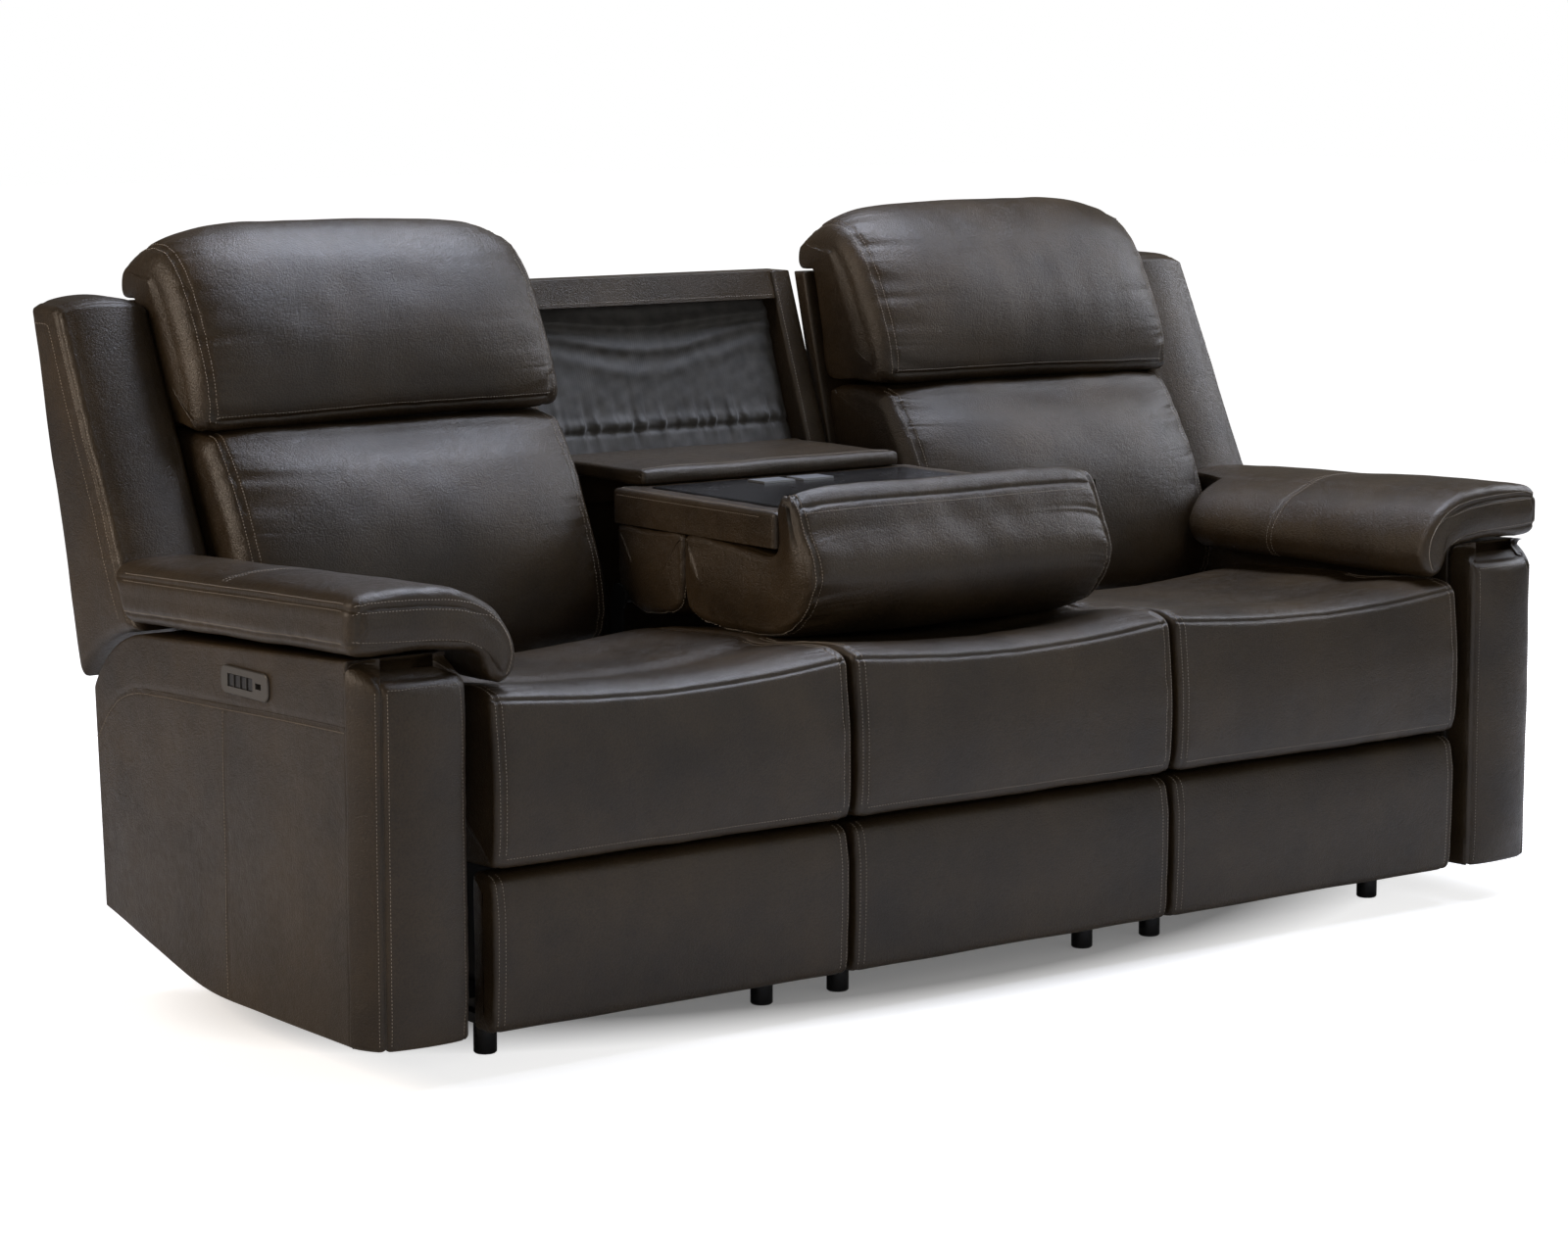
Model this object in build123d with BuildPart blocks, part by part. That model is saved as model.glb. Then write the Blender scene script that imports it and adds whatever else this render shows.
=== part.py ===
"""Three-seat leather power-reclining sofa whose middle back folds down into a console.

Frame: X to the viewer's right, Y to the back, Z up, origin under the middle of the
sofa on the floor. Side outlines are written as (distance back from the seat fronts, height).
"""
import os
from math import asin, cos, degrees, radians, sin, sqrt, tan

from build123d import *

os.makedirs("parts", exist_ok=True)

# ---------------------------------------------------------------- driving dimensions, mm

SEAT_PITCH = 600  # centre to centre of neighbouring seats
SEAT_GAP = 8  # between neighbouring seat cushions
ARM_GAP = 29  # seat module edge to arm
ARM_WIDTH = 152  # arm casing, inside face to outside face
PAD_PROUD = 14  # pads stand this far outside the arm casing
PLATE_PROUD = 4  # posts and control plates stand this far outside it
SKIRT_HEIGHT = 56  # floor to the lower edge of the upholstery
ARM_TOP = 535  # arm casing over the recline pivot, under its pad
ARM_RISE = 30  # the casing's top climbs this much towards the front post
POST_TOP = 541  # front edge of the post's sloping top
SPLIT_HEIGHT = 275  # line between the footrest and the seat cushion
SEAT_EDGE_HEIGHT = 505  # front edge of the seat cushions
SEAT_DEPTH = 572  # seat cushion, front to back
CUSHION_TOP = 796  # top of the lower back cushions
WING_TOP = 980  # top of the wings, shells and middle back
HEADREST_RISE = 92  # headrest ends above the wings
SEAT_BULGE = 9  # swell of the seat fronts, the foremost point
PAD_FRONT = 25  # front face of the arm pads
POST_BACK = 62  # seam between the arm's front post and its side panel
FIT = 0.3  # seated pieces, face to face
SOFT_GAP = 4  # soft pieces that pass each other

# recline: the back turns about this pivot on the base
PIVOT_HEIGHT = 342
PIN_RADIUS = 8
PIN_CLEARANCE = 0.08

# outer backs
BACK_SIDE_GAP = 8  # back cushion to the neighbouring middle module
SHELL_BOTTOM = 250
SHELL_LOW_BACK = SEAT_DEPTH + 150.5  # front face of the back shell at its bottom
SHELL_RAKE = 0.25  # lean of the shell, back per unit height
SHELL_THICKNESS = 30

# middle back and its console
MIDDLE_GAP = 10  # middle back to the neighbouring seat module
RAIL_WIDTH = 40
RAIL_THICKNESS = 45
RAIL_LEAN = 20.3  # degrees from upright
RAIL_KNEE = (SEAT_DEPTH + 199, 530)  # where the middle back turns from upright to leaning
REAR_PANEL = 9
LINING_DEPTH = 38  # recess, rail face to lining
CONSOLE_GAP = 5  # console to the middle back's sides
CONSOLE_CLEARANCE = 129  # seat edge to the console's body
CONSOLE_THICKNESS = 52
CONSOLE_FRONT = 212
CONSOLE_REAR = SEAT_DEPTH + 48
CONSOLE_PIN_RADIUS = 10
FLAP_FRONT = SEAT_DEPTH + 18
FLAP_GAP = 5  # flap to the recess's sides
FLAP_THICKNESS = 22

# ---------------------------------------------------------------- derived sizes

SEAT_HALF = (SEAT_PITCH - SEAT_GAP) / 2
MODULE_EDGE = 1.5 * SEAT_PITCH
ARM_IN = MODULE_EDGE + ARM_GAP
ARM_OUT = ARM_IN + ARM_WIDTH
HALF_WIDTH = ARM_OUT + PAD_PROUD
PIVOT_BACK = SEAT_DEPTH + 28
RAIL_SLOPE = tan(radians(RAIL_LEAN))
RAIL_TOP_BACK = RAIL_KNEE[0] + (WING_TOP - RAIL_KNEE[1]) * RAIL_SLOPE
RAIL_RUN = RAIL_THICKNESS / cos(radians(RAIL_LEAN))
REAR_BACK = RAIL_TOP_BACK + RAIL_RUN + REAR_PANEL
Y_SHIFT = -(REAR_BACK - SEAT_BULGE) / 2  # centres the sofa's box on the origin
ARM_ARC = ARM_TOP - PIVOT_HEIGHT  # arm's rear corner is an arc round the recline pivot
BACK_INNER = SEAT_PITCH / 2 + BACK_SIDE_GAP
BACK_OUTER = ARM_IN + 3
BACK_MIDDLE = (BACK_INNER + BACK_OUTER) / 2
HEADREST_TOP = WING_TOP + HEADREST_RISE
HEADREST_BOTTOM = CUSHION_TOP + 16
RAIL_HALF_WIDTH = SEAT_PITCH / 2 - MIDDLE_GAP
RECESS_HALF = RAIL_HALF_WIDTH - RAIL_WIDTH
CONSOLE_HALF_WIDTH = RAIL_HALF_WIDTH - CONSOLE_GAP
CONSOLE_BOTTOM = SEAT_EDGE_HEIGHT + CONSOLE_CLEARANCE
CONSOLE_TOP = CONSOLE_BOTTOM + CONSOLE_THICKNESS
CONSOLE_PIVOT = (SEAT_DEPTH + 18, SEAT_EDGE_HEIGHT + 20)
FLAP_PIVOT = (SEAT_DEPTH + 278, CONSOLE_TOP + 15)
FLAP_HALF_WIDTH = RECESS_HALF - FLAP_GAP


def side(x):
    """Plane across the sofa at x, drawn in (distance back, height); extrudes to +X."""
    return Plane(origin=(x, Y_SHIFT, 0), x_dir=(0, 1, 0), z_dir=(1, 0, 0))


def front(back):
    """Upright plane at a distance back, drawn in (x, height); extrudes to the front."""
    return Plane(origin=(0, Y_SHIFT + back, 0), x_dir=(1, 0, 0), z_dir=(0, -1, 0))


def level(height):
    """Level plane at a height, drawn in (x, distance back); extrudes up."""
    return Plane(origin=(0, Y_SHIFT, height), x_dir=(1, 0, 0), z_dir=(0, 0, 1))


def side_outline(x, *points, inset=0):
    """Straight-sided side view, drawn in by inset on every edge."""
    with BuildSketch(side(x)) as face:
        with BuildLine():
            Polyline(*points, close=True)
        make_face()
        if inset:
            offset(amount=-inset, kind=Kind.INTERSECTION)
    return face.sketch


def shell_back(height):
    """Front face of an outer back's shell at a height."""
    return SHELL_LOW_BACK + (height - SHELL_BOTTOM) * SHELL_RAKE


def rail_back(height):
    """Front face of the middle back's rails at a height above the knee."""
    return RAIL_KNEE[0] + (height - RAIL_KNEE[1]) * RAIL_SLOPE


def arm_top(back):
    """Top of the arm casing at a distance back, highest at the front post."""
    return ARM_TOP + ARM_RISE * (PIVOT_BACK - back) / (PIVOT_BACK - POST_BACK)


def save(name, piece):
    """Writes one finished piece."""
    piece.part.label = name
    export_step(piece.part, f"parts/{name}.step")


def save_pair(name, piece):
    """Writes the right-hand piece and its mirror image on the left."""
    save(f"{name}_right", piece)
    with BuildPart() as twin:
        mirror(piece.part, about=Plane.YZ)
    save(f"{name}_left", twin)


# ---------------------------------------------------------------- feet and base

FOOT_RADIUS = 16
FOOT_HEIGHT = 42
PLATE_X = 232  # mechanism side plates, from each seat's centre line
PLATE_THICKNESS = 4
PLATE_FRONT = 118
PLATE_REAR = PIVOT_BACK + 40
FOOT_BACKS = (129, SEAT_DEPTH + 40)
SOLE_WIDTH = 32
SOLE_TOP = 56
TUBE_SIZE = (30, 24)  # long cross tubes, depth by height
TUBE_BACKS = (165, SEAT_DEPTH + 38)
TUBE_LOW = 72
TUBE_WALL = 2
SEAT_FRAME_TOP = SPLIT_HEIGHT + 7
SEAT_FRAME_LOW = SEAT_FRAME_TOP - 24
EAR_HALF = 20  # half the width of the ear that carries the recline pivot
EAR_OVERLAP = 40  # ear below the seat frame, on the side plate
PIN_LENGTH = 9
SEATS = {"left": -SEAT_PITCH, "center": 0, "right": SEAT_PITCH}
PLATE_CENTRES = [x + s * PLATE_X for x in SEATS.values() for s in (-1, 1)]

with BuildPart() as feet:
    with BuildSketch(level(0)):
        with Locations(*[(x, back) for x in PLATE_CENTRES for back in FOOT_BACKS]):
            Circle(FOOT_RADIUS)
    extrude(amount=FOOT_HEIGHT)
    chamfer(feet.edges().group_by(Axis.Z)[0], length=2)
save("feet", feet)

with BuildPart() as base_side_plates:
    # sole bar on the feet, with an upright plate that guides the seat frame
    for x in PLATE_CENTRES:
        with BuildSketch(side(x - SOLE_WIDTH / 2)):
            with BuildLine():
                Polyline(
                    (PLATE_FRONT, FOOT_HEIGHT),
                    (PLATE_REAR, FOOT_HEIGHT),
                    (PLATE_REAR, SOLE_TOP),
                    (PLATE_FRONT, SOLE_TOP),
                    close=True,
                )
            make_face()
        extrude(amount=SOLE_WIDTH)
        with BuildSketch(side(x - PLATE_THICKNESS / 2)):
            with BuildLine():
                Polyline(
                    (PLATE_FRONT, SOLE_TOP),
                    (PLATE_REAR, SOLE_TOP),
                    (PIVOT_BACK + EAR_HALF, SEAT_FRAME_LOW - FIT),
                    (PLATE_FRONT, SEAT_FRAME_LOW - FIT),
                    close=True,
                )
            make_face()
            with Locations(*[(back, TUBE_LOW + TUBE_SIZE[1] / 2) for back in TUBE_BACKS]):
                Rectangle(TUBE_SIZE[0] + 2 * FIT, TUBE_SIZE[1] + 2 * FIT, mode=Mode.SUBTRACT)
        extrude(amount=PLATE_THICKNESS)
    # ears and pivot pins of the two reclining seats
    for seat in (-SEAT_PITCH, SEAT_PITCH):
        for s in (-1, 1):
            x = seat + s * PLATE_X
            with BuildSketch(side(x - PLATE_THICKNESS / 2)):
                with BuildLine():
                    Polyline(
                        (PIVOT_BACK - EAR_HALF, SEAT_FRAME_LOW - EAR_OVERLAP),
                        (PIVOT_BACK + EAR_HALF, SEAT_FRAME_LOW - EAR_OVERLAP),
                        (PIVOT_BACK + EAR_HALF, PIVOT_HEIGHT),
                        (PIVOT_BACK - EAR_HALF, PIVOT_HEIGHT),
                        close=True,
                    )
                make_face()
                with Locations((PIVOT_BACK, PIVOT_HEIGHT)):
                    Circle(EAR_HALF)
            extrude(amount=PLATE_THICKNESS)
            with BuildSketch(side(x)):
                with Locations((PIVOT_BACK, PIVOT_HEIGHT)):
                    Circle(PIN_RADIUS)
            extrude(amount=-s * (PLATE_THICKNESS / 2 + PIN_LENGTH))
save("base_side_plates", base_side_plates)

with BuildPart() as base_cross_tubes:
    # two square tubes that tie the arms and the three seat bases together
    with BuildSketch(side(-ARM_IN)):
        with Locations(*[(back, TUBE_LOW + TUBE_SIZE[1] / 2) for back in TUBE_BACKS]):
            Rectangle(*TUBE_SIZE)
            Rectangle(TUBE_SIZE[0] - 2 * TUBE_WALL, TUBE_SIZE[1] - 2 * TUBE_WALL, mode=Mode.SUBTRACT)
    extrude(amount=2 * ARM_IN)
save("base_cross_tubes", base_cross_tubes)

# ---------------------------------------------------------------- arms

ARM_WALL = 14
ARM_TOE = (SEAT_DEPTH - 122, SKIRT_HEIGHT + 2)  # where the arm's lower edge starts to rise
ARM_HEEL = (SEAT_DEPTH + 172, SKIRT_HEIGHT + 71)
ARM_NOTCH_HEIGHT = 443  # where the rear edge meets the arc
POST_FRONT = 6
POST_CROWN = 5  # swell of the post's front face
POST_CORNER = 25  # sweep of the post's rounded outer corner
SWITCH_BACK = 320  # middle of the control plate
SWITCH_HEIGHT = ARM_TOP - 31
SWITCH_SIZE = (127, 38)
SWITCH_POCKET = (104, 24, 12)  # length, height, depth in the arm
BOARD = 20  # wooden frame members

ARC_LOW_ANGLE = degrees(asin((ARM_NOTCH_HEIGHT - PIVOT_HEIGHT) / ARM_ARC))
ARM_NOTCH_BACK = PIVOT_BACK + ARM_ARC * cos(radians(ARC_LOW_ANGLE))


def arm_outline(x, inset=0):
    """Arm in side view: level top, arc round the recline pivot, raked heel."""
    with BuildSketch(side(x)) as face:
        with BuildLine():
            arc = CenterArc((PIVOT_BACK, PIVOT_HEIGHT), ARM_ARC, ARC_LOW_ANGLE, 90 - ARC_LOW_ANGLE)
            Polyline(
                arc @ 1,
                (POST_BACK, arm_top(POST_BACK)),
                (POST_BACK, SKIRT_HEIGHT),
                ARM_TOE,
                ARM_HEEL,
                arc @ 0,
            )
        make_face()
        if inset:
            offset(amount=-inset, kind=Kind.INTERSECTION)
    return face.sketch


with BuildPart() as arm_shell:
    # casing: outer and inner panels with the band round the rear, open towards the post
    extrude(arm_outline(ARM_IN), amount=ARM_WIDTH)
    extrude(arm_outline(ARM_IN + ARM_WALL, ARM_WALL), amount=ARM_WIDTH - 2 * ARM_WALL, mode=Mode.SUBTRACT)
    inner_back = POST_BACK + 2 * ARM_WALL
    mouth = side_outline(
        ARM_IN + ARM_WALL,
        (POST_BACK, SKIRT_HEIGHT + ARM_WALL),
        (inner_back, SKIRT_HEIGHT + ARM_WALL),
        (inner_back, arm_top(inner_back) - ARM_WALL),
        (POST_BACK, arm_top(POST_BACK) - ARM_WALL),
    )
    extrude(mouth, amount=ARM_WIDTH - 2 * ARM_WALL, mode=Mode.SUBTRACT)
    with BuildSketch(side(ARM_OUT)):
        with Locations((SWITCH_BACK, SWITCH_HEIGHT)):
            Rectangle(SWITCH_POCKET[0], SWITCH_POCKET[1])
    extrude(amount=-SWITCH_POCKET[2], mode=Mode.SUBTRACT)
save_pair("arm_shell", arm_shell)

with BuildPart() as arm_frame:
    # wooden frame against the casing's inner panel
    low, drop = SKIRT_HEIGHT + ARM_WALL + SOFT_GAP, ARM_WALL + SOFT_GAP
    heel_rise = (PIVOT_BACK - ARM_TOE[0]) * (ARM_HEEL[1] - ARM_TOE[1]) / (ARM_HEEL[0] - ARM_TOE[0])
    frame_corners = [
        (POST_BACK, low),
        (ARM_TOE[0], low),
        (PIVOT_BACK, low + heel_rise),
        (PIVOT_BACK, arm_top(PIVOT_BACK) - drop),
        (POST_BACK, arm_top(POST_BACK) - drop),
    ]
    extrude(side_outline(ARM_IN + ARM_WALL + FIT, *frame_corners), amount=BOARD * 2)
    window = side_outline(ARM_IN + ARM_WALL + FIT, *frame_corners, inset=BOARD * 2)
    extrude(window, amount=BOARD * 2, mode=Mode.SUBTRACT)
save_pair("arm_frame", arm_frame)

with BuildPart() as arm_front_post:
    # padded post: flat face between two seams, its outer corner swept back to the side
    with BuildSketch(level(SKIRT_HEIGHT)):
        with BuildLine():
            sweep_back = ThreePointArc(
                (ARM_OUT + PLATE_PROUD, POST_BACK),
                (ARM_OUT - POST_CORNER / 4, (POST_BACK + POST_FRONT) / 2 - POST_CORNER / 3),
                (ARM_OUT - POST_CORNER, POST_FRONT),
            )
            face_crown = ThreePointArc(
                sweep_back @ 1,
                ((ARM_IN + ARM_OUT - POST_CORNER) / 2, POST_FRONT - POST_CROWN),
                (ARM_IN + 3, POST_FRONT + 2),
            )
            Polyline(face_crown @ 1, (ARM_IN, POST_FRONT + 8), (ARM_IN, POST_BACK), sweep_back @ 0)
        make_face()
    extrude(amount=arm_top(POST_BACK) - SKIRT_HEIGHT)
    # top slopes down to the front
    post_slope = (arm_top(POST_BACK) - POST_TOP) / (POST_BACK - POST_FRONT)
    slope_top = [
        (POST_BACK, arm_top(POST_BACK)),
        (POST_BACK, arm_top(POST_BACK) + 1),
        (-POST_CROWN, arm_top(POST_BACK) + 1),
        (-POST_CROWN, POST_TOP - (POST_FRONT + POST_CROWN) * post_slope),
    ]
    extrude(side_outline(ARM_IN - 1, *slope_top), amount=HALF_WIDTH - ARM_IN + 2, mode=Mode.SUBTRACT)
save_pair("arm_front_post", arm_front_post)

# arm pad: a rolled cushion that overhangs the arm's inner face
PAD_INNER = ARM_IN - 91
PAD_HEIGHT = 89  # crown above the casing's top
PAD_BAND = (21, 72)  # outer side's sewn band, lower and upper seam above the casing
PAD_REAR = PIVOT_BACK + 100
PAD_DROOP = SEAT_EDGE_HEIGHT + 14  # lowest line of the inner roll
PAD_CLEAR = ARM_TOP + PAD_HEIGHT + 40  # above the pad's crown
PAD_UNDER = PAD_DROOP - 20  # below everything in the pad
CUSHION_SWELL = 28  # room in front of the back cushion's plain front line


def pad_section(back, inset, lift):
    """Arm pad cut across at a distance back: flat base, crowned top, drooping inner roll."""
    base = arm_top(max(back, POST_BACK)) + FIT
    top = base + PAD_HEIGHT - inset
    out = HALF_WIDTH - inset
    roll_in = PAD_INNER + inset
    droop = PAD_DROOP + inset
    with BuildSketch(front(back)) as face:
        with BuildLine():
            under = Line((ARM_IN - 2, base + lift), (out - 22, base + lift))
            hem = ThreePointArc(under @ 1, (out - 7, base + PAD_BAND[0] / 3 + lift * 0.7), (out, base + PAD_BAND[0]))
            wall = Line(hem @ 1, (out, base + PAD_BAND[1] - inset))
            shoulder = ThreePointArc(wall @ 1, (out - 20, top - 5), (out - 60, top))
            crown = ThreePointArc(shoulder @ 1, (ARM_IN + 10, top - 6), (roll_in + 30, top - 30))
            roll = ThreePointArc(crown @ 1, (roll_in, (top + droop) / 2 - 14), (roll_in + 18, droop + 8))
            lap = ThreePointArc(roll @ 1, (roll_in + 32, droop), (roll_in + 48, droop + 6))
            Polyline(lap @ 1, (ARM_IN - 6, base - 18), under @ 0)
        make_face()
    return face.sketch


# wing: padded side of the back, riding on the arm's arc
WING_OUT = ARM_OUT - 1
WING_ARC = ARM_ARC + SOFT_GAP
WING_FRONT_LOW = PIVOT_BACK + 36
WING_LEAN = 0.487  # front edge, back per unit height
WING_BEHIND = 37  # wing's rear face behind the shell's front face
WING_BASE_HEIGHT = PIVOT_HEIGHT + 105

WING_FRONT_ANGLE = degrees(asin(sqrt(1 - ((WING_FRONT_LOW - PIVOT_BACK) / WING_ARC) ** 2)))
WING_REAR_ANGLE = degrees(asin((WING_BASE_HEIGHT - PIVOT_HEIGHT) / WING_ARC))
WING_FRONT_HEIGHT = PIVOT_HEIGHT + WING_ARC * sin(radians(WING_FRONT_ANGLE))


def wing_front(height):
    """Distance back of the wing's front edge at a height."""
    return WING_FRONT_LOW + (height - WING_FRONT_HEIGHT) * WING_LEAN


def cushion_front(height):
    """Distance back of the lower back cushion's plain front line at a height."""
    low, high = CUSHION_FRONT_LOW, CUSHION_FRONT_HIGH
    return low[0] + (height - low[1]) * (high[0] - low[0]) / (high[1] - low[1])


CUSHION_FRONT_LOW = (SEAT_DEPTH - 6, SEAT_EDGE_HEIGHT - 15)
CUSHION_FRONT_HIGH = (shell_back(CUSHION_TOP) - 162, CUSHION_TOP)
CUSHION_BOTTOM = SEAT_EDGE_HEIGHT - 65

with BuildPart() as arm_pad:
    loft(
        [
            pad_section(PAD_FRONT, 12, 6),
            pad_section(PAD_FRONT + 5, 5, 4),
            pad_section(PAD_FRONT + 16, 0, 2),
            pad_section(POST_BACK, 0, 0),
            pad_section(PAD_REAR / 2, 0, 0),
            pad_section(PAD_REAR, 0, 0),
        ],
        ruled=True,
    )
    # rear end follows the wing, and its inner part stops short of the back cushion
    extrude(
        side_outline(
            ARM_IN - 2,
            (wing_front(PAD_UNDER) - SOFT_GAP, PAD_UNDER),
            (PAD_REAR + 1, PAD_UNDER),
            (PAD_REAR + 1, PAD_CLEAR),
            (wing_front(PAD_CLEAR) - SOFT_GAP, PAD_CLEAR),
        ),
        amount=2 * ARM_WIDTH,
        mode=Mode.SUBTRACT,
    )
    extrude(
        side_outline(
            PAD_INNER - 1,
            (cushion_front(PAD_UNDER) - CUSHION_SWELL, PAD_UNDER),
            (PAD_REAR + 1, PAD_UNDER),
            (PAD_REAR + 1, PAD_CLEAR),
            (cushion_front(PAD_CLEAR) - CUSHION_SWELL, PAD_CLEAR),
        ),
        amount=BACK_OUTER + SOFT_GAP - PAD_INNER + 1,
        mode=Mode.SUBTRACT,
    )
save_pair("arm_pad", arm_pad)

# control plate: bezel on the arm's side with a box behind it that holds the buttons
BUTTON_COUNT = 4
BUTTON_SIZE = (15.5, 17)
BUTTON_PITCH = 17
BUTTON_CLEARANCE = 0.4
BUTTON_LENGTH = 8
BUTTON_PROUD = 1.6
BUTTON_ROW_BACK = SWITCH_BACK + 11  # the sockets take the front end
SOCKET_SIZE = (15, 8)
SOCKET_BACK = SWITCH_BACK - 38
BEZEL = PLATE_PROUD
BUTTON_BACKS = [BUTTON_ROW_BACK + (i - (BUTTON_COUNT - 1) / 2) * BUTTON_PITCH for i in range(BUTTON_COUNT)]

with BuildPart() as control_plate:
    with BuildSketch(side(ARM_OUT)):
        with Locations((SWITCH_BACK, SWITCH_HEIGHT)):
            RectangleRounded(*SWITCH_SIZE, SWITCH_SIZE[1] / 3)
    extrude(amount=BEZEL)
    chamfer(control_plate.faces().sort_by(Axis.X)[-1].edges(), length=1.2)
    with BuildSketch(side(ARM_OUT)):
        with Locations((SWITCH_BACK, SWITCH_HEIGHT)):
            Rectangle(SWITCH_POCKET[0] - 2 * FIT, SWITCH_POCKET[1] - 2 * FIT)
    extrude(amount=-SWITCH_POCKET[2] + FIT)
    with BuildSketch(side(ARM_OUT + BEZEL)):
        with Locations(*[(back, SWITCH_HEIGHT) for back in BUTTON_BACKS]):
            Rectangle(BUTTON_SIZE[0] + 2 * BUTTON_CLEARANCE, BUTTON_SIZE[1] + 2 * BUTTON_CLEARANCE)
    extrude(amount=-(BEZEL + BUTTON_LENGTH), mode=Mode.SUBTRACT)
    with BuildSketch(side(ARM_OUT + BEZEL)):
        with Locations((SOCKET_BACK, SWITCH_HEIGHT)):
            Rectangle(*SOCKET_SIZE)
    extrude(amount=-(BEZEL + BUTTON_LENGTH - 1), mode=Mode.SUBTRACT)
save_pair("control_plate", control_plate)

for i, back in enumerate(BUTTON_BACKS):
    with BuildPart() as control_button:
        with BuildSketch(side(ARM_OUT + BEZEL - BUTTON_PROUD)):
            with Locations((back, SWITCH_HEIGHT)):
                RectangleRounded(*BUTTON_SIZE, 2)
        extrude(amount=-BUTTON_LENGTH)
        fillet(control_button.faces().sort_by(Axis.X)[-1].edges(), radius=0.8)
    save_pair(f"control_button_{i + 1}", control_button)

# ---------------------------------------------------------------- seats

SEAT_UNDER = SEAT_FRAME_TOP + FIT
FRAME_FRONT = 62
FRAME_REAR = SEAT_DEPTH - 12
BAR_X = (212, 246)  # side bars of the seat frame, from the seat's centre line
BAR_DEPTH = 30
SPRING_COUNT = 4
SPRING_TURNS = 10
SPRING_SWING = 20
SPRING_WIRE = 4
SPRING_LEVEL = SEAT_FRAME_TOP - 10
SPRING_BEND = 8
SEAT_SAG = 20  # the middle of a seat's front edge lies this much lower than its ends
SEAT_CREASE = 175  # front roll to sitting surface
SIDE_DRAW = 9  # how far a seat cushion's end outline is drawn in

# footrest linkage on each side of an outer seat, closed: three layers of strip steel
LINK_ROOT = (120, SEAT_FRAME_LOW - 28)
REAR_LINK = 165
FRONT_LINK = 180
REAR_LINK_START = -84  # degrees above straight forward
FRONT_LINK_START = 80
STRIP = 4
LAYER_ONE = 214  # frame lug and front link
LAYER_TWO = LAYER_ONE + STRIP + 1  # rear link and panel bracket
LINK_RADIUS = 9
LINK_PIN = 4
KNEE = (
    LINK_ROOT[0] - REAR_LINK * cos(radians(REAR_LINK_START)),
    LINK_ROOT[1] + REAR_LINK * sin(radians(REAR_LINK_START)),
)
PANEL_PIN = (
    KNEE[0] - FRONT_LINK * cos(radians(FRONT_LINK_START)),
    KNEE[1] + FRONT_LINK * sin(radians(FRONT_LINK_START)),
)
PANEL_TOP = SPLIT_HEIGHT - 7
PANEL_REAR = 58
PANEL_EDGE = 6  # rounding of the panel's ends
ACTUATOR_BODY = (70, 80, 54)  # motor and gearbox: width, depth, height
ACTUATOR_FOOT = (34, 28, 36)  # bracket on the rear tube
ACTUATOR_TUBE = 14
ACTUATOR_LEVEL = 20  # screw tube above the cross tubes


def mirrored_x(centre, s, near, far):
    """Low side and width of a strip that lies near..far from a seat's centre on side s."""
    return (centre + near, far - near) if s > 0 else (centre - far, far - near)


def strip(x, start, end, bores):
    """Flat link outline between two pivots, with its bores."""
    run = sqrt((end[0] - start[0]) ** 2 + (end[1] - start[1]) ** 2)
    across = (-(end[1] - start[1]) * LINK_RADIUS / run, (end[0] - start[0]) * LINK_RADIUS / run)
    with BuildSketch(side(x)) as face:
        with BuildLine():
            Polyline(
                (start[0] + across[0], start[1] + across[1]),
                (start[0] - across[0], start[1] - across[1]),
                (end[0] - across[0], end[1] - across[1]),
                (end[0] + across[0], end[1] + across[1]),
                close=True,
            )
        make_face()
        with Locations(start, end):
            Circle(LINK_RADIUS)
        with Locations(*bores):
            Circle(LINK_PIN + PIN_CLEARANCE, mode=Mode.SUBTRACT)
    return face.sketch


def pin_outline(x, centre, radius):
    """Round pin section at a pivot."""
    with BuildSketch(side(x)) as face:
        with Locations(centre):
            Circle(radius)
    return face.sketch


def seat_section(x, inset, sag):
    """Seat cushion cut at x: upright front, sewn front edge, roll, crease and sitting surface."""
    edge = SEAT_EDGE_HEIGHT - sag - inset
    rear = SEAT_DEPTH - inset
    with BuildSketch(side(x)) as face:
        with BuildLine():
            lip = ThreePointArc((30 + inset, SEAT_UNDER), (9 + inset, SEAT_UNDER + 6), (inset, SEAT_UNDER + 24))
            upright = ThreePointArc(lip @ 1, (inset - 9, (SEAT_UNDER + edge) / 2 + 10), (inset + 12, edge))
            roll = ThreePointArc(upright @ 1, (SEAT_CREASE / 2, edge + 9), (SEAT_CREASE, edge - 8))
            top = ThreePointArc(roll @ 1, ((SEAT_CREASE + rear) / 2, edge - 3 - sag / 4), (rear - 30, edge - 24 + sag / 2))
            heel = ThreePointArc(top @ 1, (rear - 7, edge - 40), (rear, edge - 70))
            Polyline(heel @ 1, (rear, SEAT_UNDER), lip @ 0)
        make_face()
    return face.sketch


def panel_section(x, inset, rear):
    """Footrest panel cut at x: flat board behind, crowned pad in front."""
    with BuildSketch(side(x)) as face:
        with BuildLine():
            low, high = SKIRT_HEIGHT + inset, PANEL_TOP - inset
            pad = ThreePointArc((18 + inset, low), (4 + inset, (low + high) / 2), (6 + inset, high))
            Polyline(pad @ 1, (rear, high), (rear, low), pad @ 0)
        make_face()
    return face.sketch


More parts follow.
